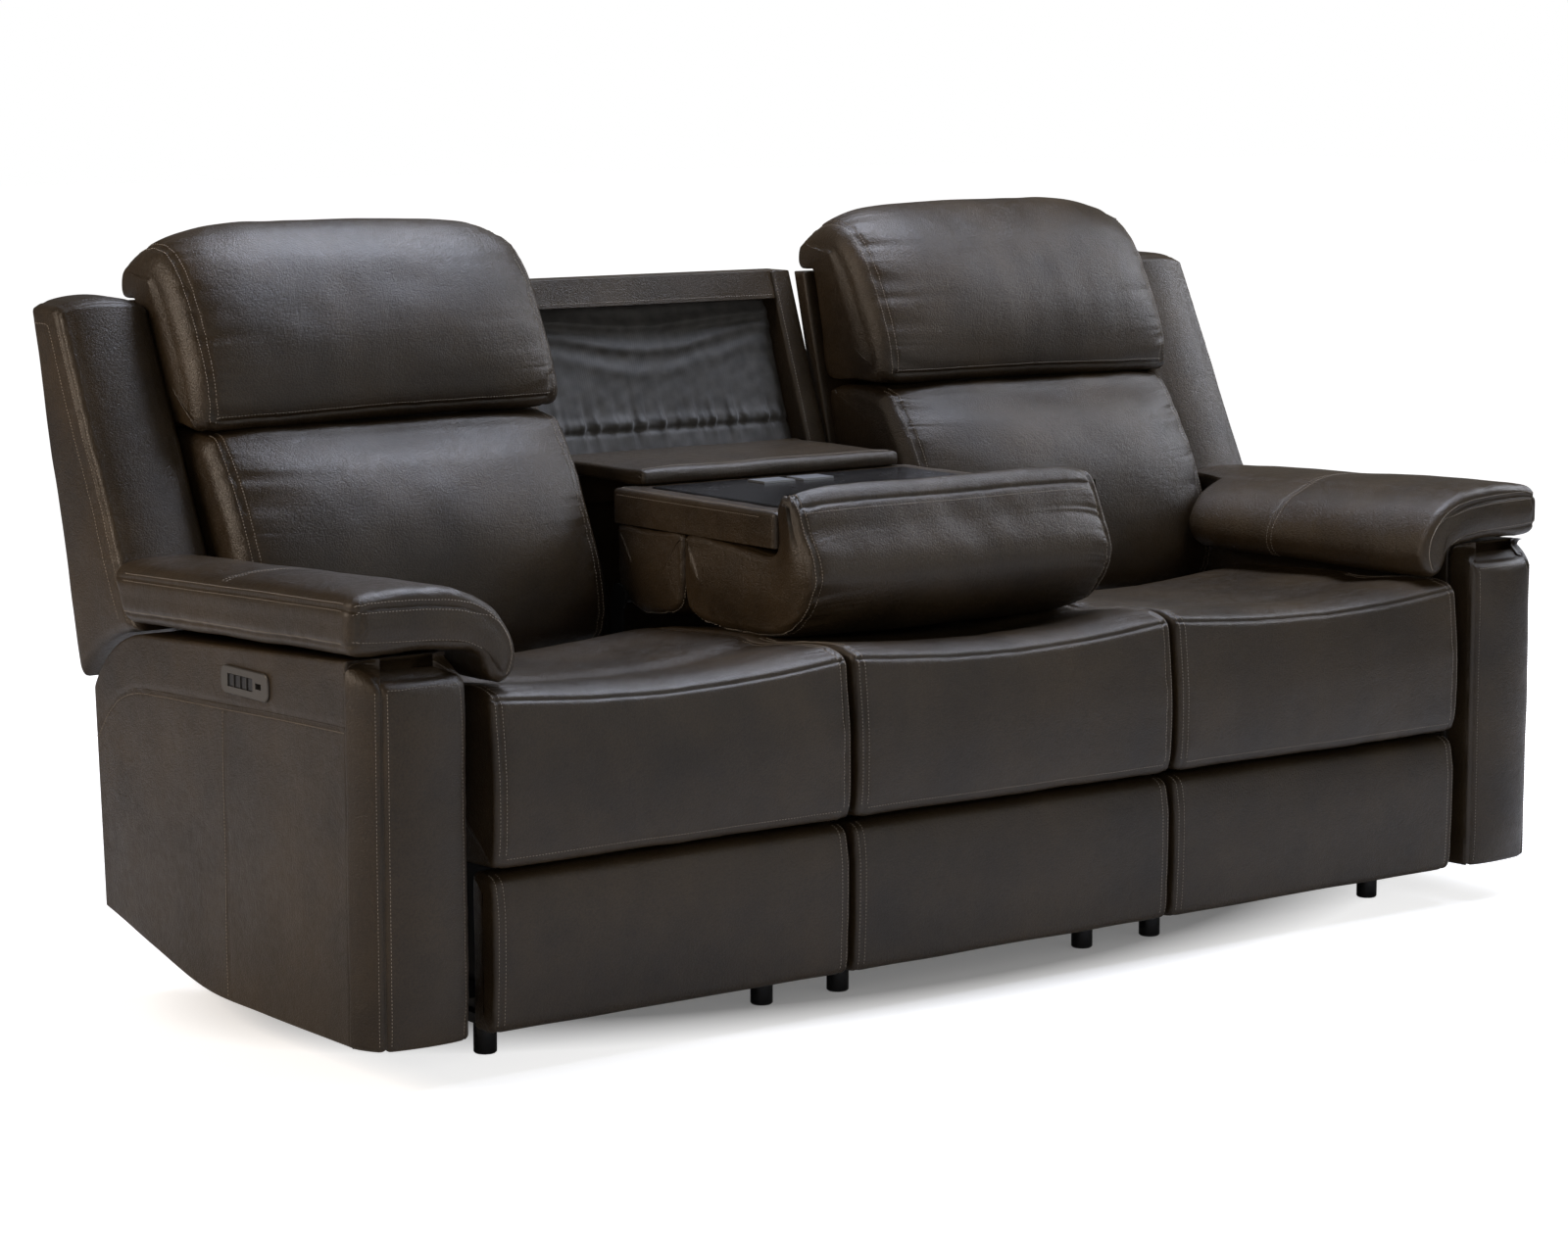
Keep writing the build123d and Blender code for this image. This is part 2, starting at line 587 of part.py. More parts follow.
def crown_stations(low, high, draw):
    """Widths and insets for a cushion lofted across the sofa: drawn-in ends, full middle."""
    middle = (low + high) / 2
    half = (high - low) / 2
    return [
        (low, draw, 0),
        (low + draw * 0.7, draw * 0.15, 0.1),
        (middle - half * 0.45, 0, 0.75),
        (middle, 0, 1),
        (middle + half * 0.45, 0, 0.75),
        (high - draw * 0.7, draw * 0.15, 0.1),
        (high, draw, 0),
    ]


for name, centre in SEATS.items():
    outer = name != "center"
    with BuildPart() as seat_cushion:
        loft(
            [
                seat_section(x, inset, SEAT_SAG * fullness)
                for x, inset, fullness in crown_stations(centre - SEAT_HALF, centre + SEAT_HALF, SIDE_DRAW)
            ],
            ruled=True,
        )
    save(f"seat_cushion_{name}", seat_cushion)

    with BuildPart() as seat_frame:
        # four steel bars; the outer seats also carry the lugs of the footrest links
        for s in (-1, 1):
            low, width = mirrored_x(centre, s, *BAR_X)
            with BuildSketch(level(SEAT_FRAME_LOW)):
                with Locations((low + width / 2, (FRAME_FRONT + FRAME_REAR) / 2)):
                    Rectangle(width, FRAME_REAR - FRAME_FRONT)
            extrude(amount=SEAT_FRAME_TOP - SEAT_FRAME_LOW)
        for back in (FRAME_FRONT + BAR_DEPTH / 2, FRAME_REAR - BAR_DEPTH / 2):
            with BuildSketch(level(SEAT_FRAME_LOW)):
                with Locations((centre, back)):
                    Rectangle(2 * BAR_X[0], BAR_DEPTH)
            extrude(amount=SEAT_FRAME_TOP - SEAT_FRAME_LOW)
        if outer:
            for s in (-1, 1):
                low, width = mirrored_x(centre, s, LAYER_ONE, LAYER_ONE + STRIP)
                extrude(strip(low, LINK_ROOT, (LINK_ROOT[0], SEAT_FRAME_LOW + LINK_RADIUS), []), amount=width)
                low, width = mirrored_x(centre, s, LAYER_ONE, LAYER_TWO + STRIP + 1)
                extrude(pin_outline(low, LINK_ROOT, LINK_PIN), amount=width)
    save(f"seat_frame_{name}", seat_frame)

    with BuildPart() as seat_springs:
        # zigzag springs from the front bar to the rear bar
        run = FRAME_REAR - FRAME_FRONT - 2 * BAR_DEPTH
        spacing = 2 * BAR_X[0] / SPRING_COUNT
        for k in range(SPRING_COUNT):
            middle = centre + (k - (SPRING_COUNT - 1) / 2) * spacing
            bends = [
                (middle + SPRING_SWING * (-1) ** i, FRAME_FRONT + BAR_DEPTH + (i + 0.5) * run / SPRING_TURNS)
                for i in range(SPRING_TURNS)
            ]
            with BuildSketch(level(SPRING_LEVEL)):
                with BuildLine():
                    FilletPolyline(
                        (middle, FRAME_FRONT + BAR_DEPTH),
                        *bends,
                        (middle, FRAME_REAR - BAR_DEPTH),
                        radius=SPRING_BEND,
                    )
                trace(line_width=SPRING_WIRE)
            extrude(amount=SPRING_WIRE)
        # cut flush with the bars
        with BuildSketch(level(SPRING_LEVEL)):
            with Locations((centre, (FRAME_FRONT + FRAME_REAR) / 2)):
                Rectangle(2 * BAR_X[0], run)
        extrude(amount=SPRING_WIRE, mode=Mode.INTERSECT)
    save(f"seat_springs_{name}", seat_springs)

    with BuildPart() as front_panel:
        rear = PANEL_REAR if outer else FRAME_FRONT - FIT
        loft(
            [
                panel_section(x, inset, rear)
                for x, inset in (
                    (centre - SEAT_HALF, PANEL_EDGE),
                    (centre - SEAT_HALF + PANEL_EDGE, 0),
                    (centre + SEAT_HALF - PANEL_EDGE, 0),
                    (centre + SEAT_HALF, PANEL_EDGE),
                )
            ],
            ruled=True,
        )
        if outer:
            for s in (-1, 1):
                low, width = mirrored_x(centre, s, LAYER_TWO, LAYER_TWO + STRIP)
                extrude(strip(low, PANEL_PIN, (PANEL_REAR - LINK_RADIUS - 1, PANEL_PIN[1]), []), amount=width)
                low, width = mirrored_x(centre, s, LAYER_ONE - 1, LAYER_TWO + STRIP)
                extrude(pin_outline(low, PANEL_PIN, LINK_PIN), amount=width)
    save(f"footrest_panel_{name}" if outer else "center_front_panel", front_panel)

    if not outer:
        continue

    with BuildPart() as rear_links:
        for s in (-1, 1):
            low, width = mirrored_x(centre, s, LAYER_TWO, LAYER_TWO + STRIP)
            extrude(strip(low, LINK_ROOT, KNEE, [LINK_ROOT]), amount=width)
            low, width = mirrored_x(centre, s, LAYER_ONE - 1, LAYER_TWO + STRIP)
            extrude(pin_outline(low, KNEE, LINK_PIN), amount=width)
    save(f"footrest_rear_links_{name}", rear_links)

    with BuildPart() as front_links:
        for s in (-1, 1):
            low, width = mirrored_x(centre, s, LAYER_ONE, LAYER_ONE + STRIP)
            extrude(strip(low, KNEE, PANEL_PIN, [KNEE, PANEL_PIN]), amount=width)
    save(f"footrest_front_links_{name}", front_links)

    with BuildPart() as recline_actuator:
        # motor housing on the front cross tube, screw tube back to the rear one
        seat_on = TUBE_LOW + TUBE_SIZE[1] + FIT
        with BuildSketch(level(seat_on)):
            with Locations((centre, TUBE_BACKS[0] - TUBE_SIZE[0] / 2 + ACTUATOR_BODY[1] / 2)):
                Rectangle(ACTUATOR_BODY[0], ACTUATOR_BODY[1])
        extrude(amount=ACTUATOR_BODY[2])
        with BuildSketch(level(seat_on)):
            with Locations((centre, TUBE_BACKS[1])):
                Rectangle(ACTUATOR_FOOT[0], ACTUATOR_FOOT[1])
        extrude(amount=ACTUATOR_FOOT[2])
        with BuildSketch(front(TUBE_BACKS[1])):
            with Locations((centre, seat_on + ACTUATOR_LEVEL)):
                Circle(ACTUATOR_TUBE)
        extrude(amount=TUBE_BACKS[1] - TUBE_BACKS[0])
    save(f"recline_actuator_{name}", recline_actuator)

# ---------------------------------------------------------------- outer backs

SHELL_OUT_LOW = ARM_IN - 5  # between the arms
SHELL_STEP_HEIGHT = 560  # above this the shell widens to carry the wing
HANGER = 6  # steel arms from the shell to the recline pivot
HANGER_HALF = 20
CUSHION_OUTER = ARM_IN - 7
LUMBAR_CROWN = 20
HEADREST_CROWN = 24
HEADREST_BEHIND = 38  # headrest's rear face behind the shell's front face
HEADREST_DRAW = 18
SHELL_TOP = WING_TOP - 2
HANGER_OVERLAP = 10

with BuildPart() as back_shell:
    lean = [
        (shell_back(SHELL_BOTTOM), SHELL_BOTTOM),
        (shell_back(SHELL_BOTTOM) + SHELL_THICKNESS, SHELL_BOTTOM),
        (shell_back(SHELL_TOP) + SHELL_THICKNESS, SHELL_TOP),
        (shell_back(SHELL_TOP), SHELL_TOP),
    ]
    shell_in = BACK_INNER - 3
    extrude(side_outline(shell_in, *lean), amount=SHELL_OUT_LOW - shell_in)
    shoulder = [
        (shell_back(SHELL_STEP_HEIGHT), SHELL_STEP_HEIGHT),
        (shell_back(SHELL_STEP_HEIGHT) + SHELL_THICKNESS, SHELL_STEP_HEIGHT),
        *lean[2:],
    ]
    wing_in = BACK_OUTER + 2
    extrude(side_outline(SHELL_OUT_LOW, *shoulder), amount=wing_in - FIT - SHELL_OUT_LOW)
    for s in (-1, 1):
        near = PLATE_X - PLATE_THICKNESS / 2 - 2 - HANGER
        low, width = mirrored_x(SEAT_PITCH, s, near, near + HANGER)
        with BuildSketch(side(low)):
            with BuildLine():
                Polyline(
                    (PIVOT_BACK, PIVOT_HEIGHT - HANGER_HALF),
                    (shell_back(PIVOT_HEIGHT) + HANGER_OVERLAP, PIVOT_HEIGHT - HANGER_HALF),
                    (shell_back(PIVOT_HEIGHT) + HANGER_OVERLAP, PIVOT_HEIGHT + HANGER_HALF),
                    (PIVOT_BACK, PIVOT_HEIGHT + HANGER_HALF),
                    close=True,
                )
            make_face()
            with Locations((PIVOT_BACK, PIVOT_HEIGHT)):
                Circle(HANGER_HALF)
                Circle(PIN_RADIUS + PIN_CLEARANCE, mode=Mode.SUBTRACT)
        extrude(amount=width)
save_pair("back_shell", back_shell)


def wing_section(x, inset):
    """Wing in side view: raked front, level top and the arc that clears the arm."""
    top = WING_TOP - inset
    with BuildSketch(side(x)) as face:
        with BuildLine():
            arc = CenterArc(
                (PIVOT_BACK, PIVOT_HEIGHT), WING_ARC + inset, WING_REAR_ANGLE, WING_FRONT_ANGLE - WING_REAR_ANGLE
            )
            Polyline(
                arc @ 1,
                (wing_front(top - 9) + inset, top - 9),
                (shell_back(top - 6) + WING_BEHIND - inset, top - 6),
                (shell_back(WING_BASE_HEIGHT) + WING_BEHIND - inset, WING_BASE_HEIGHT + inset),
                arc @ 0,
            )
        make_face()
    return face.sketch


with BuildPart() as back_wing:
    loft(
        [
            wing_section(wing_in, 6),
            wing_section(wing_in + 8, 0),
            wing_section(WING_OUT - 8, 0),
            wing_section(WING_OUT, 6),
        ],
        ruled=True,
    )
save_pair("back_wing", back_wing)


def lumbar_section(x, inset, fullness):
    """Lower back cushion cut at x, crowned in front, its rear on the shell."""
    low = (CUSHION_FRONT_LOW[0] + inset, CUSHION_FRONT_LOW[1] + inset)
    high = (CUSHION_FRONT_HIGH[0] + inset, CUSHION_TOP - inset)
    sole = CUSHION_BOTTOM + inset
    bulge = 6 + LUMBAR_CROWN * fullness
    with BuildSketch(side(x)) as face:
        with BuildLine():
            belly = ThreePointArc(
                low, ((low[0] + high[0]) / 2 - bulge * 0.91, (low[1] + high[1]) / 2 + bulge * 0.41), high
            )
            top = ThreePointArc(belly @ 1, (high[0] + 22, high[1] - 1), (high[0] + 55, high[1] - 2))
            Polyline(
                top @ 1,
                (shell_back(high[1] - 2) - FIT, high[1] - 2),
                (shell_back(sole) - FIT, sole),
                (low[0] + 60, sole),
            )
            ThreePointArc((low[0] + 60, sole), (low[0] + 14, low[1] - 22), low)
        make_face()
    return face.sketch


with BuildPart() as back_cushion:
    stations = crown_stations(BACK_INNER, CUSHION_OUTER, HEADREST_DRAW)
    loft([lumbar_section(*station) for station in stations], ruled=True)
save_pair("back_cushion", back_cushion)


def headrest_section(x, inset, fullness):
    """Headrest cut at x: leaning front face, rolled top, step over the shell behind."""
    crown = HEADREST_CROWN * fullness
    low, high = HEADREST_BOTTOM + inset, HEADREST_TOP - inset
    rise = high - low
    rear = shell_back(WING_TOP) + HEADREST_BEHIND - inset

    def ahead(height, distance):
        """Point this far in front of the shell's face, drawn in at the ends."""
        return (shell_back(height) - distance + inset, height)

    with BuildSketch(side(x)) as face:
        with BuildLine():
            bottom = ThreePointArc(ahead(low, 133), ahead(low + 6, 148), ahead(low + 20, 158))
            brow = ThreePointArc(
                bottom @ 1,
                ahead(low + rise * 0.44 + crown * 0.4, 139 + crown * 0.9),
                ahead(low + rise * 0.81 + crown * 0.3, 115),
            )
            crest = ThreePointArc(
                brow @ 1, ahead(low + rise * 0.94 + crown * 0.8, 84), ahead(high + crown, 40 + inset)
            )
            nape = ThreePointArc(
                crest @ 1, (rear - 23, high - 6 + crown * 0.7), (rear, high - 30)
            )
            Polyline(
                nape @ 1,
                (rear, WING_TOP + 5),
                (shell_back(WING_TOP + 5) - 2, WING_TOP + 5),
                (shell_back(low) - 2, low),
                bottom @ 0,
            )
        make_face()
    return face.sketch


HEADREST_PIVOT = (shell_back(HEADREST_BOTTOM) - 123, HEADREST_BOTTOM - 8)
HINGE_BACK, HINGE_HEIGHT = HEADREST_PIVOT
HINGE_ROD = 4
LUG_INSET = 45  # lugs stand this far inside the straps
LUG_ROOT = 6  # lugs reach this far into the headrest
HINGE_STRAP = (40, 2.5)
HINGE_SPREAD = 120
LUG_RADIUS = 7
LUG_WIDTH = 24

with BuildPart() as headrest:
    stations = crown_stations(BACK_INNER, BACK_OUTER, HEADREST_DRAW)
    loft([headrest_section(*station) for station in stations], ruled=True)
    # two lugs under the board that turn on the hinge rod
    for s in (-1, 1):
        low = BACK_MIDDLE + s * (HINGE_SPREAD - LUG_INSET) - LUG_WIDTH / 2
        with BuildSketch(side(low)):
            with Locations(HEADREST_PIVOT):
                Circle(LUG_RADIUS)
            with Locations((HINGE_BACK, (HINGE_HEIGHT + HEADREST_BOTTOM + LUG_ROOT) / 2)):
                Rectangle(2 * LUG_RADIUS, HEADREST_BOTTOM + LUG_ROOT - HINGE_HEIGHT)
            with Locations(HEADREST_PIVOT):
                Circle(HINGE_ROD + PIN_CLEARANCE, mode=Mode.SUBTRACT)
        extrude(amount=LUG_WIDTH)
        extrude(pin_outline(low, HEADREST_PIVOT, HINGE_ROD + PIN_CLEARANCE), amount=LUG_WIDTH, mode=Mode.SUBTRACT)
save_pair("headrest", headrest)

with BuildPart() as headrest_hinge:
    # rod in front of two straps that are screwed to the shell
    extrude(
        pin_outline(BACK_MIDDLE - HINGE_SPREAD - 20, HEADREST_PIVOT, HINGE_ROD), amount=2 * (HINGE_SPREAD + 20)
    )
    for s in (-1, 1):
        low = BACK_MIDDLE + s * HINGE_SPREAD - HINGE_STRAP[0] / 2
        strap_low = CUSHION_TOP + 3
        extrude(
            side_outline(
                low,
                (HINGE_BACK, strap_low),
                (shell_back(strap_low) - FIT, strap_low),
                (shell_back(strap_low) - FIT, strap_low + HINGE_STRAP[1]),
                (HINGE_BACK, strap_low + HINGE_STRAP[1]),
            ),
            amount=HINGE_STRAP[0],
        )
save_pair("headrest_hinge", headrest_hinge)

# ---------------------------------------------------------------- middle back

BEAM_TOP = 130
BEAM_LOW = TUBE_LOW + TUBE_SIZE[1] + FIT
BEAM_FRONT = TUBE_BACKS[1] - 14
TOP_RAIL_LOW = WING_TOP - 44
BOTTOM_RAIL = (CONSOLE_TOP - 46, CONSOLE_TOP - 5)
LINING_THICKNESS = 4
FOLD_COUNT = 18  # gathers along the lining's hem
FOLD_RADIUS = 7
HEM_TOP = CONSOLE_TOP + 76
FLAP_PIN = 4


def leaning_rail(x, low, high):
    """Rail section between two heights, between the front plane and the rear plane."""
    near_low, near_high = rail_back(low), rail_back(high)
    return side_outline(x, (near_low, low), (near_low + RAIL_RUN, low), (near_high + RAIL_RUN, high), (near_high, high))


with BuildPart() as center_back_frame:
    knee_back, knee_height = RAIL_KNEE
    for low in (-RAIL_HALF_WIDTH, RECESS_HALF):
        with BuildSketch(side(low)):
            with BuildLine():
                Polyline(
                    (BEAM_FRONT, BEAM_LOW),
                    (knee_back + RAIL_RUN, BEAM_LOW),
                    (knee_back + RAIL_RUN, knee_height),
                    (RAIL_TOP_BACK + RAIL_RUN, WING_TOP),
                    (RAIL_TOP_BACK, WING_TOP),
                    RAIL_KNEE,
                    (knee_back, BEAM_TOP),
                    (BEAM_FRONT, BEAM_TOP),
                    close=True,
                )
            make_face()
        extrude(amount=RAIL_WIDTH)
    extrude(leaning_rail(-RECESS_HALF, TOP_RAIL_LOW, WING_TOP), amount=2 * RECESS_HALF)
    extrude(leaning_rail(-RECESS_HALF, *BOTTOM_RAIL), amount=2 * RECESS_HALF)
    for s in (-1, 1):
        extrude(pin_outline(s * (RECESS_HALF + 1), FLAP_PIVOT, FLAP_PIN), amount=-s * 14)
save("center_back_frame", center_back_frame)


def lining_back(height):
    """Front face of the recess lining at a height."""
    return rail_back(height) + LINING_DEPTH


with BuildPart() as center_back_lining:
    # cloth panel with two sagging folds at the top and a gathered hem at the bottom
    low, high = BOTTOM_RAIL[1] + FIT, TOP_RAIL_LOW - FIT
    with BuildSketch(side(-RECESS_HALF + FIT)):
        with BuildLine():
            straight = Line((lining_back(low), low), (lining_back(high - 75), high - 75))
            fold_low = ThreePointArc(
                straight @ 1, (lining_back(high - 55) - 5, high - 55), (lining_back(high - 36), high - 36)
            )
            fold_high = ThreePointArc(
                fold_low @ 1, (lining_back(high - 17) - 7, high - 17), (lining_back(high), high)
            )
            Polyline(
                fold_high @ 1,
                (lining_back(high) + LINING_THICKNESS, high),
                (lining_back(low) + LINING_THICKNESS, low),
                straight @ 0,
            )
        make_face()
    extrude(amount=2 * (RECESS_HALF - FIT))
    hem = Plane(
        origin=(0, Y_SHIFT + lining_back(low), low),
        x_dir=(1, 0, 0),
        z_dir=(0, sin(radians(RAIL_LEAN)), cos(radians(RAIL_LEAN))),
    )
    with BuildSketch(hem):
        with GridLocations(2 * (RECESS_HALF - 2 * FOLD_RADIUS) / (FOLD_COUNT - 1), 1, FOLD_COUNT, 1):
            Ellipse(FOLD_RADIUS, FOLD_RADIUS * 0.6)
    extrude(amount=(HEM_TOP - low) / cos(radians(RAIL_LEAN)))
    # the hem's rounds stop at the lining's lower edge
    extrude(
        side_outline(
            -RAIL_HALF_WIDTH,
            (lining_back(low) - 3 * FOLD_RADIUS, low - 3 * FOLD_RADIUS),
            (lining_back(low) + 3 * FOLD_RADIUS, low - 3 * FOLD_RADIUS),
            (lining_back(low) + 3 * FOLD_RADIUS, low),
            (lining_back(low) - 3 * FOLD_RADIUS, low),
        ),
        amount=2 * RAIL_HALF_WIDTH,
        mode=Mode.SUBTRACT,
    )
save("center_back_lining", center_back_lining)

with BuildPart() as center_back_panel:
    face_gap = RAIL_RUN + FIT
    extrude(
        side_outline(
            -RAIL_HALF_WIDTH,
            (knee_back + face_gap, BEAM_LOW),
            (knee_back + RAIL_RUN + REAR_PANEL, BEAM_LOW),
            (knee_back + RAIL_RUN + REAR_PANEL, knee_height),
            (RAIL_TOP_BACK + RAIL_RUN + REAR_PANEL, WING_TOP),
            (RAIL_TOP_BACK + face_gap, WING_TOP),
            (knee_back + face_gap, knee_height),
        ),
        amount=2 * RAIL_HALF_WIDTH,
    )
save("center_back_panel", center_back_panel)

# ---------------------------------------------------------------- drop-down console

CHEEK = 20  # rigid cheeks that reach down to the pivot
CHEEK_RADIUS = 24
BODY_HALF = CONSOLE_HALF_WIDTH - 3
TRAY_FRONT = 236
TRAY_REAR = CONSOLE_REAR - 42
TRAY_HALF = CONSOLE_HALF_WIDTH - 45
TRAY_FLOOR = CONSOLE_BOTTOM + 6
TRAY_TOP = CONSOLE_TOP + 3
CUP_RADIUS = 42
CUP_PLACES = [(-TRAY_HALF / 2, TRAY_FRONT + 94), (TRAY_HALF / 2, TRAY_FRONT + 94)]
CUP_DEPTH = 44
LID_WIDTH = 58
LID_MIDDLES = (-54, 20)
LID_FRONT = CONSOLE_REAR - 115
LID_THICKNESS = 3
LID_HINGE = (LID_FRONT + 42, TRAY_TOP + FIT + LID_THICKNESS / 2)
WELL_SIZE = (46, 30)
WELL_DEPTH = 26
CREASE_BACK = 437  # between the pillow and the rear pad
CONSOLE_DRAW = 16
PILLOW_LOW = SEAT_EDGE_HEIGHT - 2  # underside of the pillow, on the seat
PILLOW_LIP = 29  # pillow's lip above the console's top
HINGE_PLATE = 4
HINGE_FOOT = 42  # hinge plate's width on the beam

with BuildPart() as console_body:
    extrude(
        side_outline(
            -BODY_HALF,
            (CONSOLE_FRONT, CONSOLE_BOTTOM),
            (CONSOLE_REAR, CONSOLE_BOTTOM),
            (CONSOLE_REAR, CONSOLE_TOP),
            (CONSOLE_FRONT, CONSOLE_TOP),
        ),
        amount=2 * BODY_HALF,
    )
    fillet(console_body.edges().filter_by(Axis.X).sort_by(Axis.Y)[-2:], radius=8)
    with BuildSketch(level(CONSOLE_TOP)):
        with Locations((0, (TRAY_FRONT + TRAY_REAR) / 2)):
            Rectangle(2 * TRAY_HALF, TRAY_REAR - TRAY_FRONT)
    extrude(amount=TRAY_FLOOR - CONSOLE_TOP, mode=Mode.SUBTRACT)
    for low in (-BODY_HALF, BODY_HALF - CHEEK):
        with BuildSketch(side(low)):
            with BuildLine():
                Polyline(
                    (CONSOLE_PIVOT[0] - CHEEK_RADIUS, CONSOLE_PIVOT[1]),
                    (CONSOLE_PIVOT[0] + CHEEK_RADIUS, CONSOLE_PIVOT[1]),
                    (CONSOLE_REAR - 6, CONSOLE_BOTTOM + 2),
                    (CONSOLE_PIVOT[0] - CHEEK_RADIUS - 10, CONSOLE_BOTTOM + 2),
                    close=True,
                )
            make_face()
            with Locations(CONSOLE_PIVOT):
                Circle(CHEEK_RADIUS)
                Circle(CONSOLE_PIN_RADIUS + PIN_CLEARANCE, mode=Mode.SUBTRACT)
        extrude(amount=CHEEK)
save("console_body", console_body)

with BuildPart() as console_tray:
    # moulded insert with two cup wells and two small wells for sockets
    with BuildSketch(level(TRAY_FLOOR + FIT)):
        with Locations((0, (TRAY_FRONT + TRAY_REAR) / 2)):
            Rectangle(2 * (TRAY_HALF - FIT), TRAY_REAR - TRAY_FRONT - 2 * FIT)
    extrude(amount=TRAY_TOP - TRAY_FLOOR - FIT)
    chamfer(console_tray.faces().sort_by(Axis.Z)[-1].edges(), length=2)
    with BuildSketch(level(TRAY_TOP)):
        with Locations(*CUP_PLACES):
            Circle(CUP_RADIUS)
    extrude(amount=-CUP_DEPTH, mode=Mode.SUBTRACT)
    with BuildSketch(level(TRAY_TOP)):
        with Locations(*[(x, (LID_FRONT + LID_HINGE[0]) / 2) for x in LID_MIDDLES]):
            Rectangle(*WELL_SIZE)
    extrude(amount=-WELL_DEPTH, mode=Mode.SUBTRACT)
save("console_tray", console_tray)

for name, middle in zip(("left", "right"), LID_MIDDLES):
    with BuildPart() as dock_lid:
        # thin flap with a rounded hinge edge
        with BuildSketch(side(middle - LID_WIDTH / 2)):
            with Locations(((LID_FRONT + LID_HINGE[0]) / 2, LID_HINGE[1])):
                Rectangle(LID_HINGE[0] - LID_FRONT, LID_THICKNESS)
            with Locations(LID_HINGE):
                Circle(LID_THICKNESS / 2)
        extrude(amount=LID_WIDTH)
    save(f"dock_lid_{name}", dock_lid)


def pillow_section(x, inset, fullness):
    """Front pillow cut at x: wraps the console's front end, with a raised lip on top."""
    out = 5 * fullness - inset  # swell of the free sides, less the draw at the ends
    with BuildSketch(side(x)) as face:
        with BuildLine():
            lip_top = CONSOLE_TOP + PILLOW_LIP + out
            lip = ThreePointArc((207, CONSOLE_TOP + 18), (197, lip_top + 2), (186, lip_top))
            chin = ThreePointArc(lip @ 1, (152 - out, CONSOLE_TOP - 20), (124 - out, CONSOLE_BOTTOM - 2))
            nose = ThreePointArc(chin @ 1, (132 - out, PILLOW_LOW + 65 - out), (168, PILLOW_LOW + 25 - out))
            toe = ThreePointArc(nose @ 1, (192, PILLOW_LOW + 9 - out), (220, PILLOW_LOW + 4 - out))
            belly = ThreePointArc(toe @ 1, (320, PILLOW_LOW - out), (414, PILLOW_LOW + 19 - out))
            heel = ThreePointArc(belly @ 1, (430, PILLOW_LOW + 32), (CREASE_BACK - 2, PILLOW_LOW + 57))
            Polyline(
                heel @ 1,
                (CREASE_BACK - 2, CONSOLE_BOTTOM - FIT),
                (CONSOLE_FRONT - FIT, CONSOLE_BOTTOM - FIT),
                (CONSOLE_FRONT - FIT, CONSOLE_TOP),
                lip @ 0,
            )
        make_face()
    return face.sketch


with BuildPart() as console_roll:
    loft(
        [
            pillow_section(-CONSOLE_HALF_WIDTH, CONSOLE_DRAW / 2, 0),
            pillow_section(-CONSOLE_HALF_WIDTH + CONSOLE_DRAW / 2, 0, 0),
            pillow_section(-CONSOLE_HALF_WIDTH / 2, 0, 0.8),
            pillow_section(CONSOLE_HALF_WIDTH / 2, 0, 0.8),
            pillow_section(CONSOLE_HALF_WIDTH - CONSOLE_DRAW / 2, 0, 0),
            pillow_section(CONSOLE_HALF_WIDTH, CONSOLE_DRAW / 2, 0),
        ],
        ruled=True,
    )
save("console_roll", console_roll)


def rear_pad_section(x, inset):
    """Rear pad cut at x, under the console's body between its cheeks."""
    front_back, top = CREASE_BACK + 3 + inset, CONSOLE_BOTTOM - FIT
    low = PILLOW_LOW + inset
    with BuildSketch(side(x)) as face:
        with BuildLine():
            crease = ThreePointArc((front_back, top), (front_back - 1, low + 77), (front_back + 9, low + 27))
            sole = ThreePointArc(crease @ 1, (front_back + 72, low - 10), (CONSOLE_PIVOT[0], low - 5))
            heel = ThreePointArc(sole @ 1, (CONSOLE_REAR - 10 - inset, low + 37), (CONSOLE_REAR - 2 - inset, top))
            Line(heel @ 1, crease @ 0)
        make_face()
    return face.sketch


with BuildPart() as console_cushion:
    pad_half = BODY_HALF - CHEEK - 1
    loft(
        [
            rear_pad_section(-pad_half, 8),
            rear_pad_section(-pad_half + 12, 0),
            rear_pad_section(pad_half - 12, 0),
            rear_pad_section(pad_half, 8),
        ],
        ruled=True,
    )
save("console_cushion", console_cushion)

with BuildPart() as console_hinges:
    # fixed side plates with the console's pivot pins, bolted to the middle back's beams
    for s in (-1, 1):
        low, width = mirrored_x(0, s, RAIL_HALF_WIDTH + FIT, RAIL_HALF_WIDTH + FIT + HINGE_PLATE)
        with BuildSketch(side(low)):
            with BuildLine():
                Polyline(
                    (CONSOLE_PIVOT[0] - 12, BEAM_LOW),
                    (CONSOLE_PIVOT[0] - 12 + HINGE_FOOT, BEAM_LOW),
                    (CONSOLE_PIVOT[0] + CHEEK_RADIUS - 4, CONSOLE_PIVOT[1]),
                    (CONSOLE_PIVOT[0] - 12, CONSOLE_PIVOT[1] - 12),
                    close=True,
                )
            make_face()
            with Locations(CONSOLE_PIVOT):
                Circle(CHEEK_RADIUS - 4)
        extrude(amount=width)
        low, width = mirrored_x(0, s, BODY_HALF - CHEEK + 2, RAIL_HALF_WIDTH + FIT + HINGE_PLATE)
        extrude(pin_outline(low, CONSOLE_PIVOT, CONSOLE_PIN_RADIUS), amount=width)
save("console_hinges", console_hinges)

